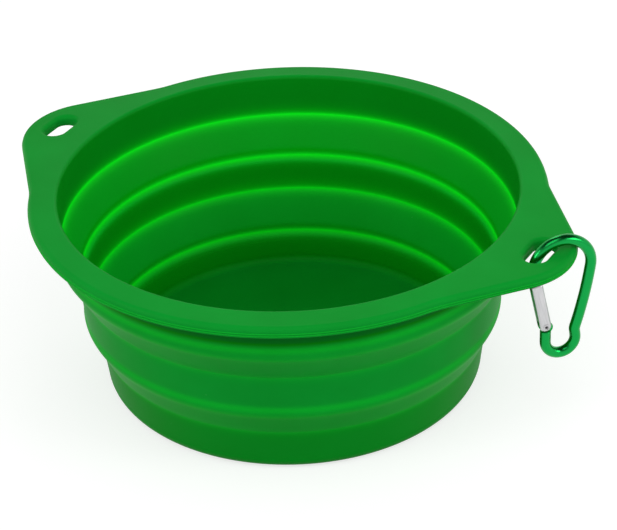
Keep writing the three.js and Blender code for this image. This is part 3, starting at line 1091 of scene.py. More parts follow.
@dataclass
class SiliconeBowl:
    """The one-piece bowl, built as five zones that meet just off its four living hinges."""

    finishes: Finishes
    wall: float = 2.2 * MM
    mouth_radius: float = 80.2 * MM
    upper_wall_taper: float = 0.55 * MM
    upper_fold_inset: float = 6.6 * MM
    middle_taper: float = 1.05 * MM
    lower_fold_inset: float = 5.5 * MM
    base_taper: float = 3.9 * MM
    hinge_bend: float = 0.9 * MM
    hinge_groove: float = 1.8 * MM
    # Painted shade on the bowl's floor, warmer than the dye.
    floor_tone: float = -0.25
    seam_offset: float = 3.6 * MM
    floor_thickness: float = 2.6 * MM
    floor_fillet: float = 2.5 * MM
    foot_round: float = 4.7 * MM
    rim_thickness: float = 4.1 * MM
    flange_width: float = 10.2 * MM
    flange_fillet: float = 1.2 * MM
    rim_edge_round: float = 1.8 * MM
    rim_lower_round: float = 0.2 * MM
    mouth_round: float = 1.4 * MM
    mouth_rise: float = 0.3 * MM
    edge_drop: float = 0.3 * MM
    parting_heights: tuple[float, float] = (1.55 * MM, 0.75 * MM)
    parting_relief: float = 0.22 * MM
    parting_width: float = 0.14 * MM
    # Strength of the painted highlight on the parting ridges.
    parting_glow: float = 0.25
    ear_projection: float = 16.9 * MM
    ear_tip_radius: float = 26.0 * MM
    ear_fillet: float = 35.0 * MM
    ear_half_angle: float = math.radians(30.0)
    ear_window: float = math.radians(22.5)
    slot_length: float = 14.8 * MM
    slot_width: float = 8.1 * MM
    slot_rim_offset: float = 5.8 * MM
    slot_upper_round: float = 1.6 * MM
    slot_lower_round: float = 0.25 * MM
    slot_ledge_height: float = 1.05 * MM
    slot_ledge_depth: float = 0.16 * MM
    slot_ledge_width: float = 0.12 * MM
    turns: int = 384
    panel_step: float = 0.32 * MM
    round_steps: int = 13
    edge_steps: int = 52
    slot_steps: int = 39
    crisp_steps: int = 4
    face_rows: int = 11

    def __post_init__(self) -> None:
        """Works out the wall line and the rim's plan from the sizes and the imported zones."""
        self.rim_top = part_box("rim_ring")[1].z
        self.rim_underside = self.rim_top - self.rim_thickness
        self.rim_radius = self.mouth_radius + self.flange_width
        self.mouth_edge = self.mouth_radius + self.mouth_round
        self.hinge_heights = [zone_joint(above, below) for above, below in zip(ZONES, ZONES[1:])]
        tapers = [
            self.upper_wall_taper,
            self.upper_fold_inset,
            self.middle_taper,
            self.lower_fold_inset,
            self.base_taper,
        ]
        radii = self.mouth_radius + self.wall / 2.0 - np.concatenate([[0.0], np.cumsum(tapers)])
        heights = [self.rim_underside, *self.hinge_heights, 0.0]
        self.corners = np.stack([radii, heights], axis=-1)
        sizes = (self.wall, self.hinge_bend, self.hinge_groove)
        self.outer = WallLine(self.corners, OUTER_SKIN, *sizes)
        self.inner = WallLine(self.corners, INNER_SKIN, *sizes)
        self.angles = full_circle(self.turns)
        self.ear_tip_centre = self.rim_radius + self.ear_projection - self.ear_tip_radius
        self.slot_centre = self.rim_radius + self.slot_rim_offset

    def build(self) -> None:
        """Makes and dresses the five zones, and seats the three that keep their shape on their bodies."""
        above, below = -self.seam_offset, self.seam_offset
        rim_seam, middle_top, middle_foot, base_seam = (0, above), (1, below), (2, above), (3, below)
        self.rigid("rim_ring", self.rim_patches(rim_seam), "rim")
        self.fold("upper_fold_band", rim_seam, middle_top)
        self.rigid("middle_ring", [self.band(middle_top, middle_foot)], "middle")
        self.fold("lower_fold_band", middle_foot, base_seam)
        self.rigid("base_cup", [self.cup(base_seam)], "base")

    def rigid(self, node: str, patches: list[Patch], body: str) -> None:
        """Makes a zone that keeps its shape and rides on one body.

        Args:
            node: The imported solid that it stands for.
            patches: Its surfaces.
            body: The body that it rides on.
        """
        piece = new_piece(f"silicone_{node}", patches, Edge.MOULDED)
        self.finishes.dress(piece, node, Slot.SILICONE)
        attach(piece, body)

    def fold(self, node: str, top: Seam, foot: Seam) -> None:
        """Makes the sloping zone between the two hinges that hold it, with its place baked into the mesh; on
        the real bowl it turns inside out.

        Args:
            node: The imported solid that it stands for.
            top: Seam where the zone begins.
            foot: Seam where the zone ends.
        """
        piece = new_piece(f"silicone_{node}", [self.band(top, foot)], Edge.MOULDED)
        self.finishes.dress(piece, node, Slot.SILICONE)
        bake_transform(piece)

    def runs(self, start: float, end: float) -> Array:
        """Even distances down the wall, about one panel step apart."""
        return np.linspace(start, end, max(FEWEST_STEPS, round(abs(end - start) / self.panel_step)))

    def band(self, top: Seam, foot: Seam) -> Patch:
        """A ring of wall between two seams: outer skin down, inner skin up, closed across both seams.

        Args:
            top: Seam where the ring begins.
            foot: Seam where it ends.

        Returns:
            The ring's surface.
        """
        down = self.runs(self.outer.at(top), self.outer.at(foot))
        up = self.runs(self.inner.at(foot), self.inner.at(top))
        return Stretch.turned([self.outer.stretch(down), self.inner.stretch(up)], self.angles, closed=True)

    def lowest_radius(self, line: WallLine, height: float) -> float:
        """Radius of one side of the lowest wall: its foot's, plus the wall's slope times the height.

        Args:
            line: The wall's inner or outer line.
            height: Height above the table.

        Returns:
            The radius at that height.
        """
        bend, foot = line.lowest
        slope = (bend[0] - foot[0]) / bend[1]
        return foot[0] + line.skin.side * self.wall / 2.0 + slope * height

    def cup(self, seam: Seam) -> Patch:
        """Lowest wall and floor, from the middle of the underside round the foot to the floor's middle.

        The foot is a quarter circle between the underside and the outer skin, and the fillet a quarter circle
        between the floor and the inner skin.

        Args:
            seam: Seam where the wall begins.

        Returns:
            The cup's surface.
        """
        outer = self.lowest_radius(self.outer, self.foot_round) - self.foot_round
        fillet_top = self.floor_thickness + self.floor_fillet
        inner = self.lowest_radius(self.inner, fillet_top) - self.floor_fillet
        foot = arc((outer, self.foot_round), self.foot_round, -QUARTER_TURN, 0.0, self.round_steps)
        fillet = arc((inner, fillet_top), self.floor_fillet, 0.0, -QUARTER_TURN, self.round_steps)
        outer_run = self.runs(self.outer.end - self.foot_round, self.outer.at(seam))[1:]
        inner_run = self.runs(self.inner.at(seam), self.inner.end - fillet_top)[:-1]
        floor_shares = eased(self.face_rows)[:, None]
        underside = foot[0] * floor_shares
        underside[:, 1] = 0.0
        floor = fillet[-1] * floor_shares[::-1]
        floor[:, 1] = self.floor_thickness
        # Painted shade at the foot, on the lowest inner wall, through the fillet and on the floor.
        foot_tone, wall_tone = OUTER_SKIN.panel_shades[-1], INNER_SKIN.panel_shades[-1]
        fillet_tone = np.linspace(wall_tone, self.floor_tone, len(fillet))
        stretches = [
            Stretch.plain(underside[:-1], foot_tone),
            Stretch.plain(foot, foot_tone),
            self.outer.stretch(outer_run),
            self.inner.stretch(inner_run),
            Stretch(fillet, np.zeros(len(fillet)), fillet_tone),
            Stretch.plain(floor[1:], self.floor_tone),
        ]
        return Stretch.turned(stretches, self.angles, closed=False)

    def outline(self, angles: Array, inset: float) -> Array:
        """Distance from the axis to the rim's outline, drawn in by an inset, in the given directions.

        Each ear is a round tip, two straight flanks and two fillets into the rim. A ray meets a circle of
        centre c and radius p at b plus or minus the root of b squared minus c squared plus p squared, where b
        is how far c lies along the ray.

        Args:
            angles: Directions round the axis.
            inset: How far the outline is drawn in.

        Returns:
            The distance in each direction.
        """
        folded = np.abs((angles + QUARTER_TURN) % HALF_TURN - QUARTER_TURN)
        ray = np.stack([np.cos(folded), np.sin(folded)], axis=-1)
        tip, fillet, rim = self.ear_tip_radius - inset, self.ear_fillet + inset, self.rim_radius - inset
        reach = self.rim_radius + self.ear_fillet
        tip_centre = np.array([self.ear_tip_centre, 0.0])
        fillet_centre = reach * np.array([math.cos(self.ear_half_angle), math.sin(self.ear_half_angle)])
        across = fillet_centre - tip_centre
        spread = np.hypot(*across)
        flank = math.atan2(across[1], across[0]) - math.acos((tip + fillet) / spread)
        heading = np.array([math.cos(flank), math.sin(flank)])
        tip_end, fillet_end = tip_centre + tip * heading, fillet_centre - fillet * heading
        run = fillet_end - tip_end
        swell = np.maximum((ray @ tip_centre) ** 2 - tip_centre @ tip_centre + tip**2, 0.0)
        on_tip = ray @ tip_centre + np.sqrt(swell)
        bulge = np.maximum((ray @ fillet_centre) ** 2 - fillet_centre @ fillet_centre + fillet**2, 0.0)
        on_fillet = ray @ fillet_centre - np.sqrt(bulge)
        crossing = ray[:, 0] * run[1] - ray[:, 1] * run[0]
        on_flank = (tip_end[0] * run[1] - tip_end[1] * run[0]) / crossing
        past_tip = folded > math.atan2(tip_end[1], tip_end[0])
        past_flank = folded > math.atan2(fillet_end[1], fillet_end[0])
        past_fillet = folded > self.ear_half_angle
        reaches = [np.full_like(folded, rim), on_fillet, on_flank]
        return np.select([past_fillet, past_flank, past_tip], reaches, on_tip)

    def ring(self, radius: Array, height: float, angles: Array) -> Array:
        """Points at one height, at a distance from the axis that may change with the direction."""
        level = np.full_like(radius, height)
        return np.stack([radius * np.cos(angles), radius * np.sin(angles), level], axis=-1)

    def rim_patches(self, seam: Seam) -> list[Patch]:
        """The rim: upper wall, flat faces, outer edge and the lips of both slots.

        Args:
            seam: Seam where the upper wall ends.

        Returns:
            The rim's surfaces.
        """
        under_radius = self.wall_outer_radius() + self.flange_fillet
        top = (self.rim_top, self.mouth_edge, self.rim_edge_round, self.slot_upper_round)
        underside = (self.rim_underside, under_radius, self.rim_lower_round, self.slot_lower_round)
        upper = [self.tilted(patch) for patch in self.faces(*top)]
        lips = [self.slot_lip(turn) for turn in EAR_TURNS]
        return [self.upper_wall(seam), self.outer_edge(), *upper, *self.faces(*underside), *lips]

    def faces(self, height: float, inner: float, inset: float, slot_round: float) -> list[Patch]:
        """Top or underside of the flange at one height: two stretches between the ears, and the ears."""
        ears = [self.ear_face(height, inner, inset, slot_round, turn) for turn in EAR_TURNS]
        return self.flat_sectors(height, inner, inset) + ears

    def wall_outer_radius(self) -> float:
        """Radius of the upper wall's outer skin at the underside of the flange."""
        return self.corners[0, 0] + self.wall / 2.0

    def upper_wall(self, seam: Seam) -> Patch:
        """Round mouth edge, inner skin down, across the seam, outer skin up and a fillet under the flange.

        Args:
            seam: Seam where the wall ends.

        Returns:
            The wall's surface.
        """
        mouth_centre = (self.mouth_edge, self.rim_top + self.mouth_rise - self.mouth_round)
        mouth = arc(mouth_centre, self.mouth_round, QUARTER_TURN, HALF_TURN, self.round_steps)
        fillet_centre = (
            self.wall_outer_radius() + self.flange_fillet,
            self.rim_underside - self.flange_fillet,
        )
        fillet = arc(fillet_centre, self.flange_fillet, HALF_TURN, QUARTER_TURN, self.round_steps)
        inner_run = self.runs(0.0, self.inner.at(seam))
        outer_run = self.runs(self.outer.at(seam), self.flange_fillet)[:-1]
        # Painted shade rising round the mouth into the inner wall's.
        mouth_tone = INNER_SKIN.panel_shades[0] * eased(len(mouth))
        stretches = [
            Stretch(mouth, np.zeros(len(mouth)), mouth_tone),
            self.inner.stretch(inner_run),
            self.outer.stretch(outer_run),
            # Painted shadow in the fillet under the flange.
            Stretch.plain(fillet, OUTER_SKIN.corner_shade),
        ]
        return Stretch.turned(stretches, self.angles, closed=False)

    def outer_edge(self) -> Patch:
        """Outer edge of the flange: a round top edge, two fine parting ridges with a painted highlight, and a
        crisp lower edge.

        The side stands out by a bell at the height of each parting line.

        Returns:
            The edge's surface.
        """
        turn = np.linspace(0.0, QUARTER_TURN, self.round_steps)
        top_inset = self.rim_edge_round * (1.0 - np.sin(turn))
        top_height = self.rim_top - self.edge_drop - self.rim_edge_round * (1.0 - np.cos(turn))
        side_low = self.rim_underside + self.rim_lower_round
        side_height = np.linspace(top_height[-1], side_low, self.edge_steps)[1:]
        lines = self.rim_underside + np.array(self.parting_heights)
        ridges = bell(side_height[:, None] - lines, self.parting_width).sum(axis=1)
        low_turn = np.linspace(0.0, QUARTER_TURN, self.crisp_steps)[1:]
        low_inset = self.rim_lower_round * (1.0 - np.cos(low_turn))
        low_height = side_low - self.rim_lower_round * np.sin(low_turn)
        insets = np.concatenate([top_inset, -self.parting_relief * ridges, low_inset])
        heights = np.concatenate([top_height, side_height, low_height])
        levels = zip(insets, heights)
        rows = [self.ring(self.outline(self.angles, inset), height, self.angles) for inset, height in levels]
        # Painted highlight along each parting ridge.
        glow = np.zeros(len(heights))
        glow[len(top_inset):len(top_inset) + len(ridges)] = self.parting_glow * ridges
        return Patch(np.stack(rows), wrap_columns=True, mark=glow)

    def tilt(self, plan: Array) -> Array:
        """How far the rim's top lies off its mean height, as it falls evenly from the mouth to the edge.

        Args:
            plan: Points of the rim, of which X and Y count.

        Returns:
            The rise at each point.
        """
        radius = np.hypot(plan[..., 0], plan[..., 1])
        angles = np.arctan2(plan[..., 1], plan[..., 0])
        outer = self.outline(angles.ravel(), self.rim_edge_round).reshape(radius.shape)
        share = (radius - self.mouth_edge) / (outer - self.mouth_edge)
        return self.mouth_rise - (self.mouth_rise + self.edge_drop) * share

    def tilted(self, patch: Patch) -> Patch:
        """A flat patch of the rim's top, laid on its slant."""
        patch.points[..., 2] += self.tilt(patch.points)
        return patch

    def sector(self, angles: Array, height: float, inner: float, inset: float) -> Array:
        """Flat rows from an inner circle out to the outline, over a run of directions.

        Args:
            angles: The directions.
            height: Height of the rows.
            inner: Radius of the inner circle.
            inset: How far the outline is drawn in.

        Returns:
            Rows by directions by 3.
        """
        shares = eased(self.face_rows)[:, None]
        radius = (1.0 - shares) * inner + shares * self.outline(angles, inset)
        return self.ring(radius, height, angles)

    def window_half(self) -> int:
        """Number of the bowl's grid steps from the middle of an ear to the edge of its window."""
        return round(self.ear_window * self.turns / FULL_TURN)

    def flat_sectors(self, height: float, inner: float, inset: float) -> list[Patch]:
        """The two flat stretches of the flange between the ears.

        Args:
            height: Their height.
            inner: Radius of their inner edge.
            inset: How far the outline is drawn in.

        Returns:
            Both surfaces.
        """
        half = self.window_half()
        angles = np.arange(half, self.turns // 2 - half + 1) * FULL_TURN / self.turns
        return [Patch(self.sector(angles + turn, height, inner, inset)) for turn in EAR_TURNS]

    def ear_frame(self, inner: float, inset: float) -> Array:
        """Closed line round the ear that lies on +X: mouth, one side, outline and the other side.

        Args:
            inner: Radius of the mouth's edge.
            inset: How far the outline is drawn in.

        Returns:
            X and Y of each point.
        """
        half = self.window_half()
        window = np.arange(-half, half + 1) * FULL_TURN / self.turns
        patch = self.sector(window, 0.0, inner, inset)[:, :, :2]
        return np.concatenate([patch[0, :-1], patch[:-1, -1], patch[-1, :0:-1], patch[:0:-1, 0]])

    def slot_ring(self, frame_line: Array, grow: float) -> Array:
        """Points of the slot's outline, grown by an offset, on the rays from its centre to a closed line.

        The outline is two half circles joined by straight sides along Y. A ray meets a straight side at the
        half width over its X part, or else an end circle.

        Args:
            frame_line: X and Y of the closed line.
            grow: The offset.

        Returns:
            X and Y of each point.
        """
        ray = frame_line - np.array([self.slot_centre, 0.0])
        ray = ray / np.linalg.norm(ray, axis=1)[:, None]
        end = self.slot_width / 2.0 + grow
        offset = (self.slot_length - self.slot_width) / 2.0
        across, along = np.abs(ray[:, 0]), np.abs(ray[:, 1])
        to_side = end / np.maximum(across, WELD_DISTANCE)
        to_end = offset * along + np.sqrt(np.maximum(end**2 - (offset * across) ** 2, 0.0))
        reach = np.where(to_side * along <= offset, to_side, to_end)
        return np.array([self.slot_centre, 0.0]) + reach[:, None] * ray

    def at_ear(self, plan: Array, height: Array, turn: float) -> Array:
        """Lifts X and Y of the +X ear to a height and turns it to either ear.

        Args:
            plan: X and Y of each point.
            height: One height, or one for each point.
            turn: The ear's turn round the axis.

        Returns:
            The points.
        """
        level = np.broadcast_to(height, plan.shape[:-1])
        sign = math.cos(turn)
        return np.concatenate([sign * plan, level[..., None]], axis=-1)

    def ear_face(self, height: float, inner: float, inset: float, slot_round: float, turn: float) -> Patch:
        """Flat face of an ear: rows from the rounded slot edge out to the line round the ear.

        Args:
            height: Height of the face.
            inner: Radius of the mouth's edge.
            inset: How far the outline is drawn in.
            slot_round: Round of the slot's edge.
            turn: The ear's turn round the axis.

        Returns:
            The face.
        """
        frame_line = self.ear_frame(inner, inset)
        slot = self.slot_ring(frame_line, slot_round)
        shares = eased(self.face_rows)[:, None, None]
        plan = (1.0 - shares) * slot + shares * frame_line
        return Patch(self.at_ear(plan, height, turn), wrap_columns=True)

    def slot_lip(self, turn: float) -> Patch:
        """Wall of a slot: a wide quarter circle into the top, a fine parting ledge and a crisp lower edge.

        The wall stands out by a bell at the height of the ledge.

        Args:
            turn: The ear's turn round the axis.

        Returns:
            The slot's wall.
        """
        sweep_angle = np.linspace(0.0, QUARTER_TURN, self.round_steps)
        upper, lower = self.slot_upper_round, self.slot_lower_round
        side = np.linspace(self.rim_top - upper, self.rim_underside + lower, self.slot_steps)[1:-1]
        ledge = self.rim_underside + self.slot_ledge_height
        grows = np.concatenate([
            upper * (1.0 - np.sin(sweep_angle)),
            -self.slot_ledge_depth * bell(side - ledge, self.slot_ledge_width),
            lower * (1.0 - np.cos(sweep_angle)),
        ])
        heights = np.concatenate([
            self.rim_top - upper * (1.0 - np.cos(sweep_angle)),
            side,
            self.rim_underside + lower * (1.0 - np.sin(sweep_angle)),
        ])
        upper_line = self.ear_frame(self.mouth_edge, self.rim_edge_round)
        rings = [self.slot_ring(upper_line, grow) for grow in grows]
        points = np.stack([self.at_ear(ring, height, turn) for ring, height in zip(rings, heights)])
        depth = (heights - self.rim_underside) / self.rim_thickness
        points[..., 2] += depth[:, None] * self.tilt(points[0])
        return Patch(points, wrap_columns=True)


@dataclass(frozen=True)
class Basis:
    """A place and three directions on which local points are laid out."""

    origin: Array
    across: Array
    along: Array
    out: Array

    def place(self, points: Array) -> Array:
        """Carries local points into the model: the origin plus each coordinate times its direction."""
        return self.origin + points @ np.stack([self.across, self.along, self.out])


def tangent_angle(start: Array, start_radius: float, end: Array, end_radius: float) -> float:
    """Angle, seen from both centres, of the outer tangent that runs clockwise from one circle to the next."""
    across = end - start
    return math.atan2(across[1], across[0]) + math.acos((start_radius - end_radius) / np.hypot(*across))


def on_circle(centre: Array, radius: float, angle: float) -> Array:
    """Point of a circle at an angle."""
    return centre + radius * np.array([math.cos(angle), math.sin(angle)])


@dataclass
class Clip:
    """The carabiner that hangs in one ear: bent rod, gate, rivet, spring and plunger."""

    finishes: Finishes
    rod_radius: float = 1.9 * MM
    crown_radius: float = 10.2 * MM
    spine_radius: float = 160.0 * MM
    nose_straight: float = 2.4 * MM
    loop_radius: float = 5.4 * MM
    loop_drop: float = 29.0 * MM
    kink_inset: float = 0.4 * MM
    kink_rise: float = 3.4 * MM
    kink_ease: float = 0.55 * MM
    ease_reach: float = 3.0
    arc_points: int = 600
    path_step: float = 0.05 * MM
    rod_step: float = 0.35 * MM
    rod_sides: int = 56
    rod_end_round: float = 0.45 * MM
    eye_radius: float = 2.2 * MM
    eye_thickness: float = 1.5 * MM
    eye_round: float = 0.3 * MM
    lug_offset: float = 0.75 * MM
    lug_drop: float = 1.2 * MM
    tongue_length: float = 2.4 * MM
    gate_width: float = 4.2 * MM
    gate_thickness: float = 4.2 * MM
    gate_edge_round: float = 1.2 * MM
    latch_web: float = 0.9 * MM
    rivet_radius: float = 0.8 * MM
    rivet_head_radius: float = 1.2 * MM
    rivet_head_height: float = 0.2 * MM
    rivet_dimple: float = 0.5 * MM
    bore_radius: float = 1.0 * MM
    plunger_length: float = 2.4 * MM
    plunger_round: float = 0.425 * MM
    spring_wire: float = 0.3 * MM
    spring_turns: int = 7
    spring_pitch: float = 1.05 * MM
    running_gap: float = 0.3 * MM
    pin_gap: float = 0.1 * MM
    face_gap: float = 0.1 * MM
    bore_gap: float = 0.15 * MM
    pin_sides: int = 40
    gate_end_steps: int = 21
    spring_sides: int = 12
    spring_steps: int = 32

    def __post_init__(self) -> None:
        """Lays out the clip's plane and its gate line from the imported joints."""
        joints = {joint["name"]: joint for joint in frame["joints"]}
        centre = np.array(joints["carabiner_swing"]["pos_m"])
        out = np.array(joints["carabiner_swing"]["axis"])
        up = np.array(UP)
        along = np.cross(up, out)
        offset = np.array(joints["gate_hinge"]["pos_m"]) - centre
        self.plane = Basis(centre, along, up, out)
        self.crown = np.zeros(2)
        self.pivot = np.array([offset @ along, offset @ up])
        self.loop = np.array([0.0, -self.loop_drop])
        self.kink = self.loop + np.array([self.loop_radius - self.kink_inset, self.kink_rise])
        self.gate_tangent = tangent_angle(self.pivot, 0.0, self.crown, self.crown_radius)
        lean = self.gate_tangent - HALF_TURN
        self.gate_heading = np.array([-math.sin(lean), math.cos(lean)])
        side = math.cos(lean) * along + math.sin(lean) * up
        heading = self.gate_heading[0] * along + self.gate_heading[1] * up
        self.gate_line = Basis(centre + offset, side, heading, out)
        self.pin_angles = full_circle(self.pin_sides)
        gate_run = math.sqrt(self.pivot @ self.pivot - self.crown_radius**2)
        self.nose_end = gate_run - self.nose_straight
        self.eye_shoulder = self.eye_radius + self.face_gap
        self.plunger_tip = self.eye_radius + self.bore_gap
        self.spring_bottom = self.plunger_tip + self.plunger_length + self.bore_gap
        self.spring_top = self.spring_bottom + self.spring_turns * self.spring_pitch + self.spring_wire

    def build(self) -> None:
        """Makes, dresses and seats the five pieces."""
        self.seat(self.frame_piece(), "carabiner_frame", Slot.ANODISED, "carabiner")
        self.seat(self.gate_piece(), "gate", Slot.ALUMINIUM, "gate")
        self.seat(self.rivet_piece(), "gate_rivet", Slot.ALUMINIUM, "gate")
        self.seat(self.spring_piece(), "gate_spring", Slot.STEEL, "gate")
        self.seat(self.plunger_piece(), "gate_plunger", Slot.STEEL, "gate")

    def seat(self, piece: bpy.types.Object, node: str, slot: Slot, body: str) -> None:
        """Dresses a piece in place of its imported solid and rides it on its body."""
        self.finishes.dress(piece, node, slot)
        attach(piece, body)

    def tool(self, basis: Basis, patch: Patch) -> bpy.types.Object:
        """A local shape placed on a basis, to join to a piece or cut out of it."""
        placed = Patch(basis.place(patch.points), patch.wrap_rows, patch.wrap_columns)
        return new_piece("clip_tool", [placed], Edge.MACHINED)

    def cross_disc(self, radius: float, half: float, edge: float) -> Patch:
        """Disc or pin across the clip's plane: its profile turned about the local out direction."""
        return Patch(revolve(disc(radius, half, edge), self.pin_angles), wrap_columns=True)

    def lengthwise(self, profile: Array) -> Patch:
        """A profile of radius and height turned about the gate's length."""
        return Patch(revolve(profile, self.pin_angles)[..., [0, 2, 1]], wrap_columns=True)

    def spine(self) -> tuple[float, Array, float]:
        """Bowed spine: the angle where it leaves the crown, its arc's centre and the angle where it ends.

        The arc's centre lies on the line from the point of tangency through the crown's centre, so the kink,
        the crown's centre and the arc's centre make a triangle whose sides are known.

        Returns:
            Both angles in radians, with the centre between them.
        """
        span = np.hypot(*self.kink)
        setback = self.spine_radius - self.crown_radius
        share = (self.spine_radius**2 - setback**2 - span**2) / (2.0 * setback * span)
        start = math.atan2(self.kink[1], self.kink[0]) + math.acos(share)
        centre = on_circle(self.crown, -setback, start)
        away = self.kink - centre
        return start, centre, math.atan2(away[1], away[0])

    def rod_line(self) -> Array:
        """Middle line of the rod in its plane at even steps, from the nose to the hinge eye.

        Straights and arcs meet at tangents, apart from the kink, and a bell-weighted mean of each point's
        neighbours eases that.

        Returns:
            The line's points.
        """
        reach = round(self.ease_reach * self.kink_ease / self.path_step)
        spare = reach * self.path_step
        spine_tangent, spine_centre, spine_end = self.spine()
        loop_tangent = tangent_angle(self.kink, 0.0, self.loop, self.loop_radius)
        nose = self.pivot + (self.nose_end - spare) * self.gate_heading
        leg_end = np.array([-self.loop_radius, self.pivot[1] - self.eye_shoulder + spare])
        corners = np.concatenate([
            nose[None],
            arc(self.crown, self.crown_radius, self.gate_tangent, spine_tangent, self.arc_points),
            arc(spine_centre, self.spine_radius, spine_tangent, spine_end, self.arc_points),
            arc(self.loop, self.loop_radius, loop_tangent, -HALF_TURN, self.arc_points),
            leg_end[None],
        ])
        run = run_length(corners, False)
        even = np.linspace(0.0, run[-1], round(run[-1] / self.path_step))
        weights = bell(np.arange(-reach, reach + 1) * self.path_step, self.kink_ease)
        weights = weights / weights.sum()
        line = along_line(even, run, corners)
        return np.stack([np.convolve(column, weights, "valid") for column in line.T], axis=-1)

    def rod_patch(self) -> Patch:
        """The bent rod: a circle swept along its middle line, with rounded ends.

        Returns:
            The rod's surface, on the clip's plane.
        """
        middle = self.rod_line()
        run = run_length(middle, False)
        at, draw = round_ended(run[-1], self.rod_end_round, self.rod_step)
        path = np.column_stack([along_line(at, run, middle), np.zeros(len(at))])
        skin = sweep(path, np.array(UP), self.rod_radius - draw, self.rod_sides)
        return Patch(self.plane.place(capped(path, skin)), wrap_columns=True)

    def frame_piece(self) -> bpy.types.Object:
        """Rod with its hinge eye, the eye's lug, the stem under it and the tongue on the nose.

        Returns:
            The piece.
        """
        piece = new_piece("clip_frame", [self.rod_patch()], Edge.MACHINED)
        half = self.eye_thickness / 2.0
        eye = self.cross_disc(self.eye_radius, half, self.eye_round)
        lug = self.cross_disc(self.eye_radius, half, self.eye_round)
        eye.points[..., :2] += self.pivot
        lug.points[..., :2] += self.pivot + np.array([self.lug_offset, -self.lug_drop])
        stem_half = half - self.eye_round
        stem_reach = self.rod_radius - self.eye_round
        stem_foot = self.pivot[1] - self.eye_shoulder - self.rod_radius
        stem = block(
            np.array([-self.loop_radius - stem_reach, stem_foot, -stem_half]),
            np.array([-self.loop_radius + stem_reach, self.pivot[1], stem_half]),
        )
        tongue_side = self.gate_width / 2.0 - self.latch_web - self.running_gap
        tongue = block(
            np.array([-self.rod_radius, self.nose_end - self.tongue_length, -half]),
            np.array([tongue_side, self.nose_end + self.rod_radius, half]),
        )
        hole = self.cross_disc(self.rivet_radius + self.pin_gap, self.gate_thickness, self.face_gap)
        for patch in (eye, lug, stem):
            carve(piece, self.tool(self.plane, patch), "UNION", Edge.MACHINED)
        carve(piece, self.tool(self.gate_line, tongue), "UNION", Edge.MACHINED)
        carve(piece, self.tool(self.gate_line, hole), "DIFFERENCE", Edge.MACHINED)
        return piece

    def gate_outline(self, inset: float) -> Array:
        """Outline of the gate drawn in by an inset: two upper corners and a half circle round the pivot.

        Args:
            inset: How far it is drawn in.

        Returns:
            X and Y of each point on the gate's plane.
        """
        half = self.gate_width / 2.0 - inset
        corner = max(self.gate_edge_round - inset, self.face_gap)
        top = self.nose_end - self.running_gap - inset - corner
        parts = [
            arc((half - corner, top), corner, 0.0, QUARTER_TURN, END_STEPS),
            arc((corner - half, top), corner, QUARTER_TURN, HALF_TURN, END_STEPS),
            arc((0.0, 0.0), half, HALF_TURN, FULL_TURN, self.gate_end_steps),
        ]
        return np.concatenate(parts)

    def gate_patch(self) -> Patch:
        """Bar with rounded edges: its outline drawn in along a quarter circle, closed on its middle line.

        Returns:
            The bar's surface, in the gate's own directions.
        """
        turn = np.linspace(0.0, QUARTER_TURN, END_STEPS)
        insets = self.gate_edge_round * (1.0 - np.sin(turn))
        rises = self.gate_thickness / 2.0 - self.gate_edge_round * (1.0 - np.cos(turn))
        rings = [self.gate_outline(inset) for inset in insets]
        outlines = np.stack(rings + rings[::-1])
        levels = np.concatenate([rises, -rises[::-1]])
        spine = rings[0].copy()
        spine[:, 0] = 0.0
        spine[:, 1] = np.clip(spine[:, 1], 0.0, self.nose_end - self.gate_width / 2.0)
        plan = np.concatenate([spine[None], outlines, spine[None]])
        level = np.concatenate([levels[:1], levels, levels[-1:]])
        depth = np.broadcast_to(level[:, None], plan.shape[:2])
        points = np.concatenate([plan, depth[..., None]], axis=-1)
        chart = np.stack([points[..., 0] + points[..., 2], points[..., 1]], axis=-1)
        return Patch(points, wrap_columns=True, chart=chart)

    def gate_piece(self) -> bpy.types.Object:
        """Gate bar, forked round the hinge eye and the nose's tongue, and bored for the spring.

        Returns:
            The piece.
        """
        bar = self.gate_patch()
        placed = Patch(self.gate_line.place(bar.points), wrap_columns=True, chart=bar.chart)
        piece = new_piece("clip_gate", [placed], Edge.MACHINED)
        half = self.eye_thickness / 2.0 + self.running_gap
        wide = self.gate_width
        hinge_slot = block(
            np.array([-wide, -wide, -half]),
            np.array([wide, self.eye_shoulder + self.running_gap, half]),
        )
        latch_slot = block(
            np.array([-wide, self.nose_end - self.tongue_length - self.running_gap, -half]),
            np.array([self.gate_width / 2.0 - self.latch_web, self.nose_end, half]),
        )
        bore_end = self.spring_top + self.face_gap
        bore = self.lengthwise(disc(self.bore_radius, bore_end, self.face_gap))
        hole = self.cross_disc(self.rivet_radius + self.pin_gap, self.gate_thickness, self.face_gap)
        for patch in (hinge_slot, latch_slot, bore, hole):
            carve(piece, self.tool(self.gate_line, patch), "DIFFERENCE", Edge.MACHINED)
        return piece

    def rivet_piece(self) -> bpy.types.Object:
        """Rivet with shallow heads and a dimple pressed into each, darker towards its bottom.

        Returns:
            The piece.
        """
        seat = self.gate_thickness / 2.0 + self.face_gap
        crown = seat + self.rivet_head_height
        slope = eased(END_STEPS)
        radius = np.concatenate([
            [self.rivet_radius, self.rivet_head_radius],
            self.rivet_radius + (self.rivet_head_radius - self.rivet_radius) * (1.0 - slope[1:]),
            self.rivet_radius * (1.0 - slope[1:]),
        ])
        height = np.concatenate([
            [seat, seat],
            seat + self.rivet_head_height * slope[1:],
            crown - self.rivet_dimple * slope[1:],
        ])
        # Darker towards the dimple's middle.
        dimple_darkening = np.clip(1.0 - (radius / self.rivet_radius) ** 2, 0.0, 1.0)
        upper = np.stack([radius, height], axis=-1)
        lower = (upper * np.array([1.0, -1.0]))[::-1]
        points = self.gate_line.place(revolve(np.concatenate([lower, upper]), self.pin_angles))
        mark = np.concatenate([dimple_darkening[::-1], dimple_darkening])
        return new_piece("clip_gate_rivet", [Patch(points, wrap_columns=True, mark=mark)], Edge.MACHINED)

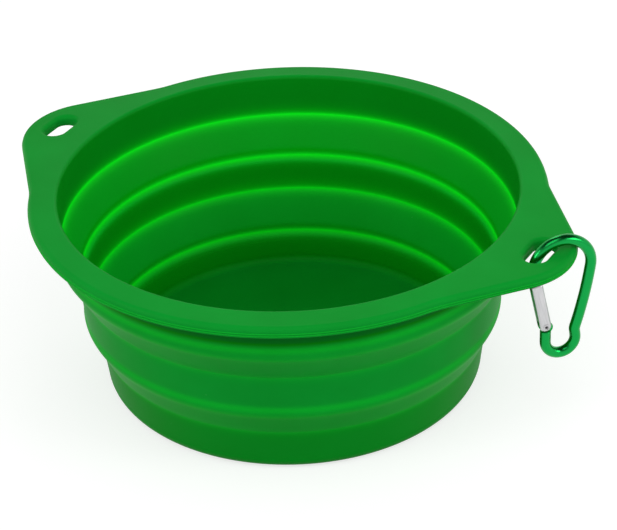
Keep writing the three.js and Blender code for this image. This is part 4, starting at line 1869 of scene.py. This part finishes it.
    def spring_piece(self) -> bpy.types.Object:
        """Coil spring in the gate: a circle swept along a helix about the gate's length.

        Returns:
            The piece.
        """
        wire = self.spring_wire / 2.0
        radius = self.bore_radius - self.bore_gap - wire
        coil = self.spring_turns * FULL_TURN
        rise = self.spring_pitch * self.spring_turns
        length = math.hypot(coil * radius, rise)
        at, draw = round_ended(length, wire / 2.0, FULL_TURN * radius / self.spring_steps)
        share = at / length
        angle = coil * share
        height = self.spring_bottom + wire + rise * share
        path = np.stack([radius * np.cos(angle), height, radius * np.sin(angle)], axis=-1)
        normal = np.stack([np.cos(angle), np.zeros_like(angle), np.sin(angle)], axis=-1)
        skin = sweep(path, normal, wire - draw, self.spring_sides)
        points = self.gate_line.place(capped(path, skin))
        return new_piece("clip_gate_spring", [Patch(points, wrap_columns=True)], Edge.MACHINED)

    def plunger_piece(self) -> bpy.types.Object:
        """Short pin with rounded ends that the spring presses on the hinge eye.

        Returns:
            The piece.
        """
        half = self.plunger_length / 2.0
        radius = self.bore_radius - self.bore_gap
        profile = disc(radius, half, self.plunger_round) + np.array([0.0, self.plunger_tip + half])
        points = self.gate_line.place(self.lengthwise(profile).points)
        return new_piece("clip_gate_plunger", [Patch(points, wrap_columns=True)], Edge.MACHINED)


def look_along(right: Vector, up: Vector, forward: Vector, place: Vector) -> Matrix:
    """Matrix of a camera or lamp at a place, from its right, up and forward directions."""
    turned = Matrix((right, up, -forward)).transposed().to_4x4()
    return Matrix.Translation(place) @ turned


@dataclass
class Studio:
    """Camera at the photograph's place, white floor and surround, and soft lamps."""

    frame_width: int = 617
    focal_pixels: float = 2423.7
    sensor: float = 36.0
    back: float = 729.6 * MM
    height: float = 496.1 * MM
    around: float = math.radians(31.2)
    pitch: float = math.radians(32.02)
    yaw: float = math.radians(0.48)
    roll: float = math.radians(-2.06)
    floor_radius: float = 6.0
    lamp_distance: float = 0.65
    lamp_size: float = 0.22
    side_turn: float = math.radians(62.0)
    side_rise: float = math.radians(30.0)
    back_rise: float = math.radians(46.0)
    front_distance: float = 0.42
    front_turn: float = math.radians(8.0)
    front_rise: float = math.radians(62.0)
    right_power: float = 0.65
    left_power: float = 0.60
    back_power: float = 0.40
    front_power: float = 0.25
    horizon_light: float = 1.48
    zenith_light: float = 0.18
    zenith_mirrored: float = 0.04
    mirrored_fall: Span = (0.30, 0.72)
    floor_tone: float = 0.46
    floor_roughness: float = 0.9
    floor_lift: float = 0.67

    def build(self) -> None:
        """Sets up the view transform, camera, surround, floor and lamps."""
        bpy.context.scene.view_settings.view_transform = "Standard"
        self.camera()
        self.surround()
        self.floor()
        self.lamps()

    def camera(self) -> None:
        """Places the camera: turned about Z to the ears, then pitched down and rolled a little."""
        data = bpy.data.cameras.new("camera")
        data.lens = self.focal_pixels * self.sensor / self.frame_width
        data.sensor_width = self.sensor
        heading = Vector((math.sin(self.yaw), math.cos(self.yaw), 0.0))
        right = Vector((math.cos(self.yaw), -math.sin(self.yaw), 0.0))
        rise = Vector(UP)
        forward = math.cos(self.pitch) * heading - math.sin(self.pitch) * rise
        up = math.sin(self.pitch) * heading + math.cos(self.pitch) * rise
        level_right = math.cos(self.roll) * right + math.sin(self.roll) * up
        level_up = math.cos(self.roll) * up - math.sin(self.roll) * right
        stand = look_along(level_right, level_up, forward, Vector((0.0, -self.back, self.height)))
        camera = bpy.data.objects.new("camera", data)
        camera.matrix_world = Matrix.Rotation(self.around, 4, "Z") @ stand
        bpy.context.scene.collection.objects.link(camera)
        bpy.context.scene.camera = camera

    @staticmethod
    def mirrored(path: bpy.types.Node, wiring: Wiring) -> bpy.types.NodeSocket:
        """1 for rays that a mirror or glass sends on."""
        return wiring.math("MAXIMUM", path.outputs["Is Glossy Ray"], path.outputs["Is Transmission Ray"])

    def surround(self) -> None:
        """White surround to look at, and a light that falls off from the horizon to the zenith."""
        world = bpy.data.worlds.new("surround")
        world.use_nodes = True
        bpy.context.scene.world = world
        wiring = Wiring(world.node_tree)
        background = world.node_tree.nodes["Background"]
        background.inputs["Color"].default_value = WHITE
        place = wiring.node("ShaderNodeTexCoord").outputs["Generated"]
        rise = wiring.node("ShaderNodeSeparateXYZ", Vector=place).outputs["Z"]
        path = wiring.tree.nodes.new("ShaderNodeLightPath")
        light = wiring.spread(rise, RISING, (self.horizon_light, self.zenith_light))
        image = wiring.spread(rise, self.mirrored_fall, (1.0, self.zenith_mirrored))
        bounced = wiring.choose(self.mirrored(path, wiring), light, image)
        wiring.feed(background.inputs["Strength"], wiring.choose(path.outputs["Is Camera Ray"], bounced, 1.0))

    def floor(self) -> None:
        """Pale floor that keeps the object's shadow and clears from below."""
        corner = self.floor_radius
        mesh = bpy.data.meshes.new("floor")
        plan = [(-corner, -corner), (corner, -corner), (corner, corner), (-corner, corner)]
        mesh.from_pydata([(across, along, 0.0) for across, along in plan], [], [range(len(plan))])
        floor = bpy.data.objects.new("floor", mesh)
        bpy.context.scene.collection.objects.link(floor)
        mesh.materials.append(self.floor_material())

    def floor_material(self) -> bpy.types.Material:
        """White matt floor, raised to white for rays that look at it.

        Returns:
            The material.
        """
        material, wiring, shader = new_material("pale_floor")
        shader.inputs["Base Color"].default_value = (self.floor_tone, self.floor_tone, self.floor_tone, 1.0)
        shader.inputs["Roughness"].default_value = self.floor_roughness
        shader.inputs["Specular IOR Level"].default_value = 0.0
        shader.inputs["Emission Color"].default_value = WHITE
        path = wiring.tree.nodes.new("ShaderNodeLightPath")
        seen = wiring.math("MAXIMUM", path.outputs["Is Camera Ray"], self.mirrored(path, wiring))
        wiring.feed(shader.inputs["Emission Strength"], wiring.math("MULTIPLY", seen, self.floor_lift))
        clear = wiring.tree.nodes.new("ShaderNodeBsdfTransparent")
        side = wiring.tree.nodes.new("ShaderNodeNewGeometry")
        choice = wiring.tree.nodes.new("ShaderNodeMixShader")
        for place, source in enumerate([side.outputs["Backfacing"], shader.outputs[0], clear.outputs[0]]):
            wiring.feed(choice.inputs[place], source)
        wiring.feed(wiring.tree.nodes["Material Output"].inputs["Surface"], choice.outputs[0])
        return material

    def lamps(self) -> None:
        """Softboxes at both sides of the bowl, one behind it, and a nearer one over the camera's side."""
        right = self.from_camera(self.side_turn, self.side_rise, self.lamp_distance)
        left = self.from_camera(-self.side_turn, self.side_rise, self.lamp_distance)
        back = self.from_camera(HALF_TURN, self.back_rise, self.lamp_distance)
        front = self.from_camera(self.front_turn, self.front_rise, self.front_distance)
        self.lamp("right_softbox", right, self.right_power)
        self.lamp("left_softbox", left, self.left_power)
        self.lamp("back_softbox", back, self.back_power)
        self.lamp("front_softbox", front, self.front_power)

    def from_camera(self, turn: float, rise: float, distance: float) -> Vector:
        """Place round the bowl, given from the direction of the camera.

        Args:
            turn: Turn to the right of the camera's direction.
            rise: Angle above the floor.
            distance: Distance from the bowl's foot.

        Returns:
            The place.
        """
        heading = turn - QUARTER_TURN + self.around
        flat = distance * math.cos(rise)
        return Vector((flat * math.cos(heading), flat * math.sin(heading), distance * math.sin(rise)))

    def lamp(self, name: str, place: Vector, power: float) -> None:
        """Adds a square softbox that faces the bowl.

        Args:
            name: The lamp's name.
            place: Where it stands.
            power: Its power in watts.
        """
        data = bpy.data.lights.new(name, "AREA")
        data.size = self.lamp_size
        data.energy = power
        lamp = bpy.data.objects.new(name, data)
        lamp.location = place
        lamp.rotation_mode = "QUATERNION"
        lamp.rotation_quaternion = (-place).to_track_quat("-Z", "Y")
        bpy.context.scene.collection.objects.link(lamp)


def main() -> None:
    """Builds the studio, the bowl and the clip, in that order."""
    logging.basicConfig(level=logging.INFO, format="%(message)s")
    Studio().build()
    finishes = Finishes.build()
    SiliconeBowl(finishes).build()
    Clip(finishes).build()


if __name__ == "__main__":
    main()
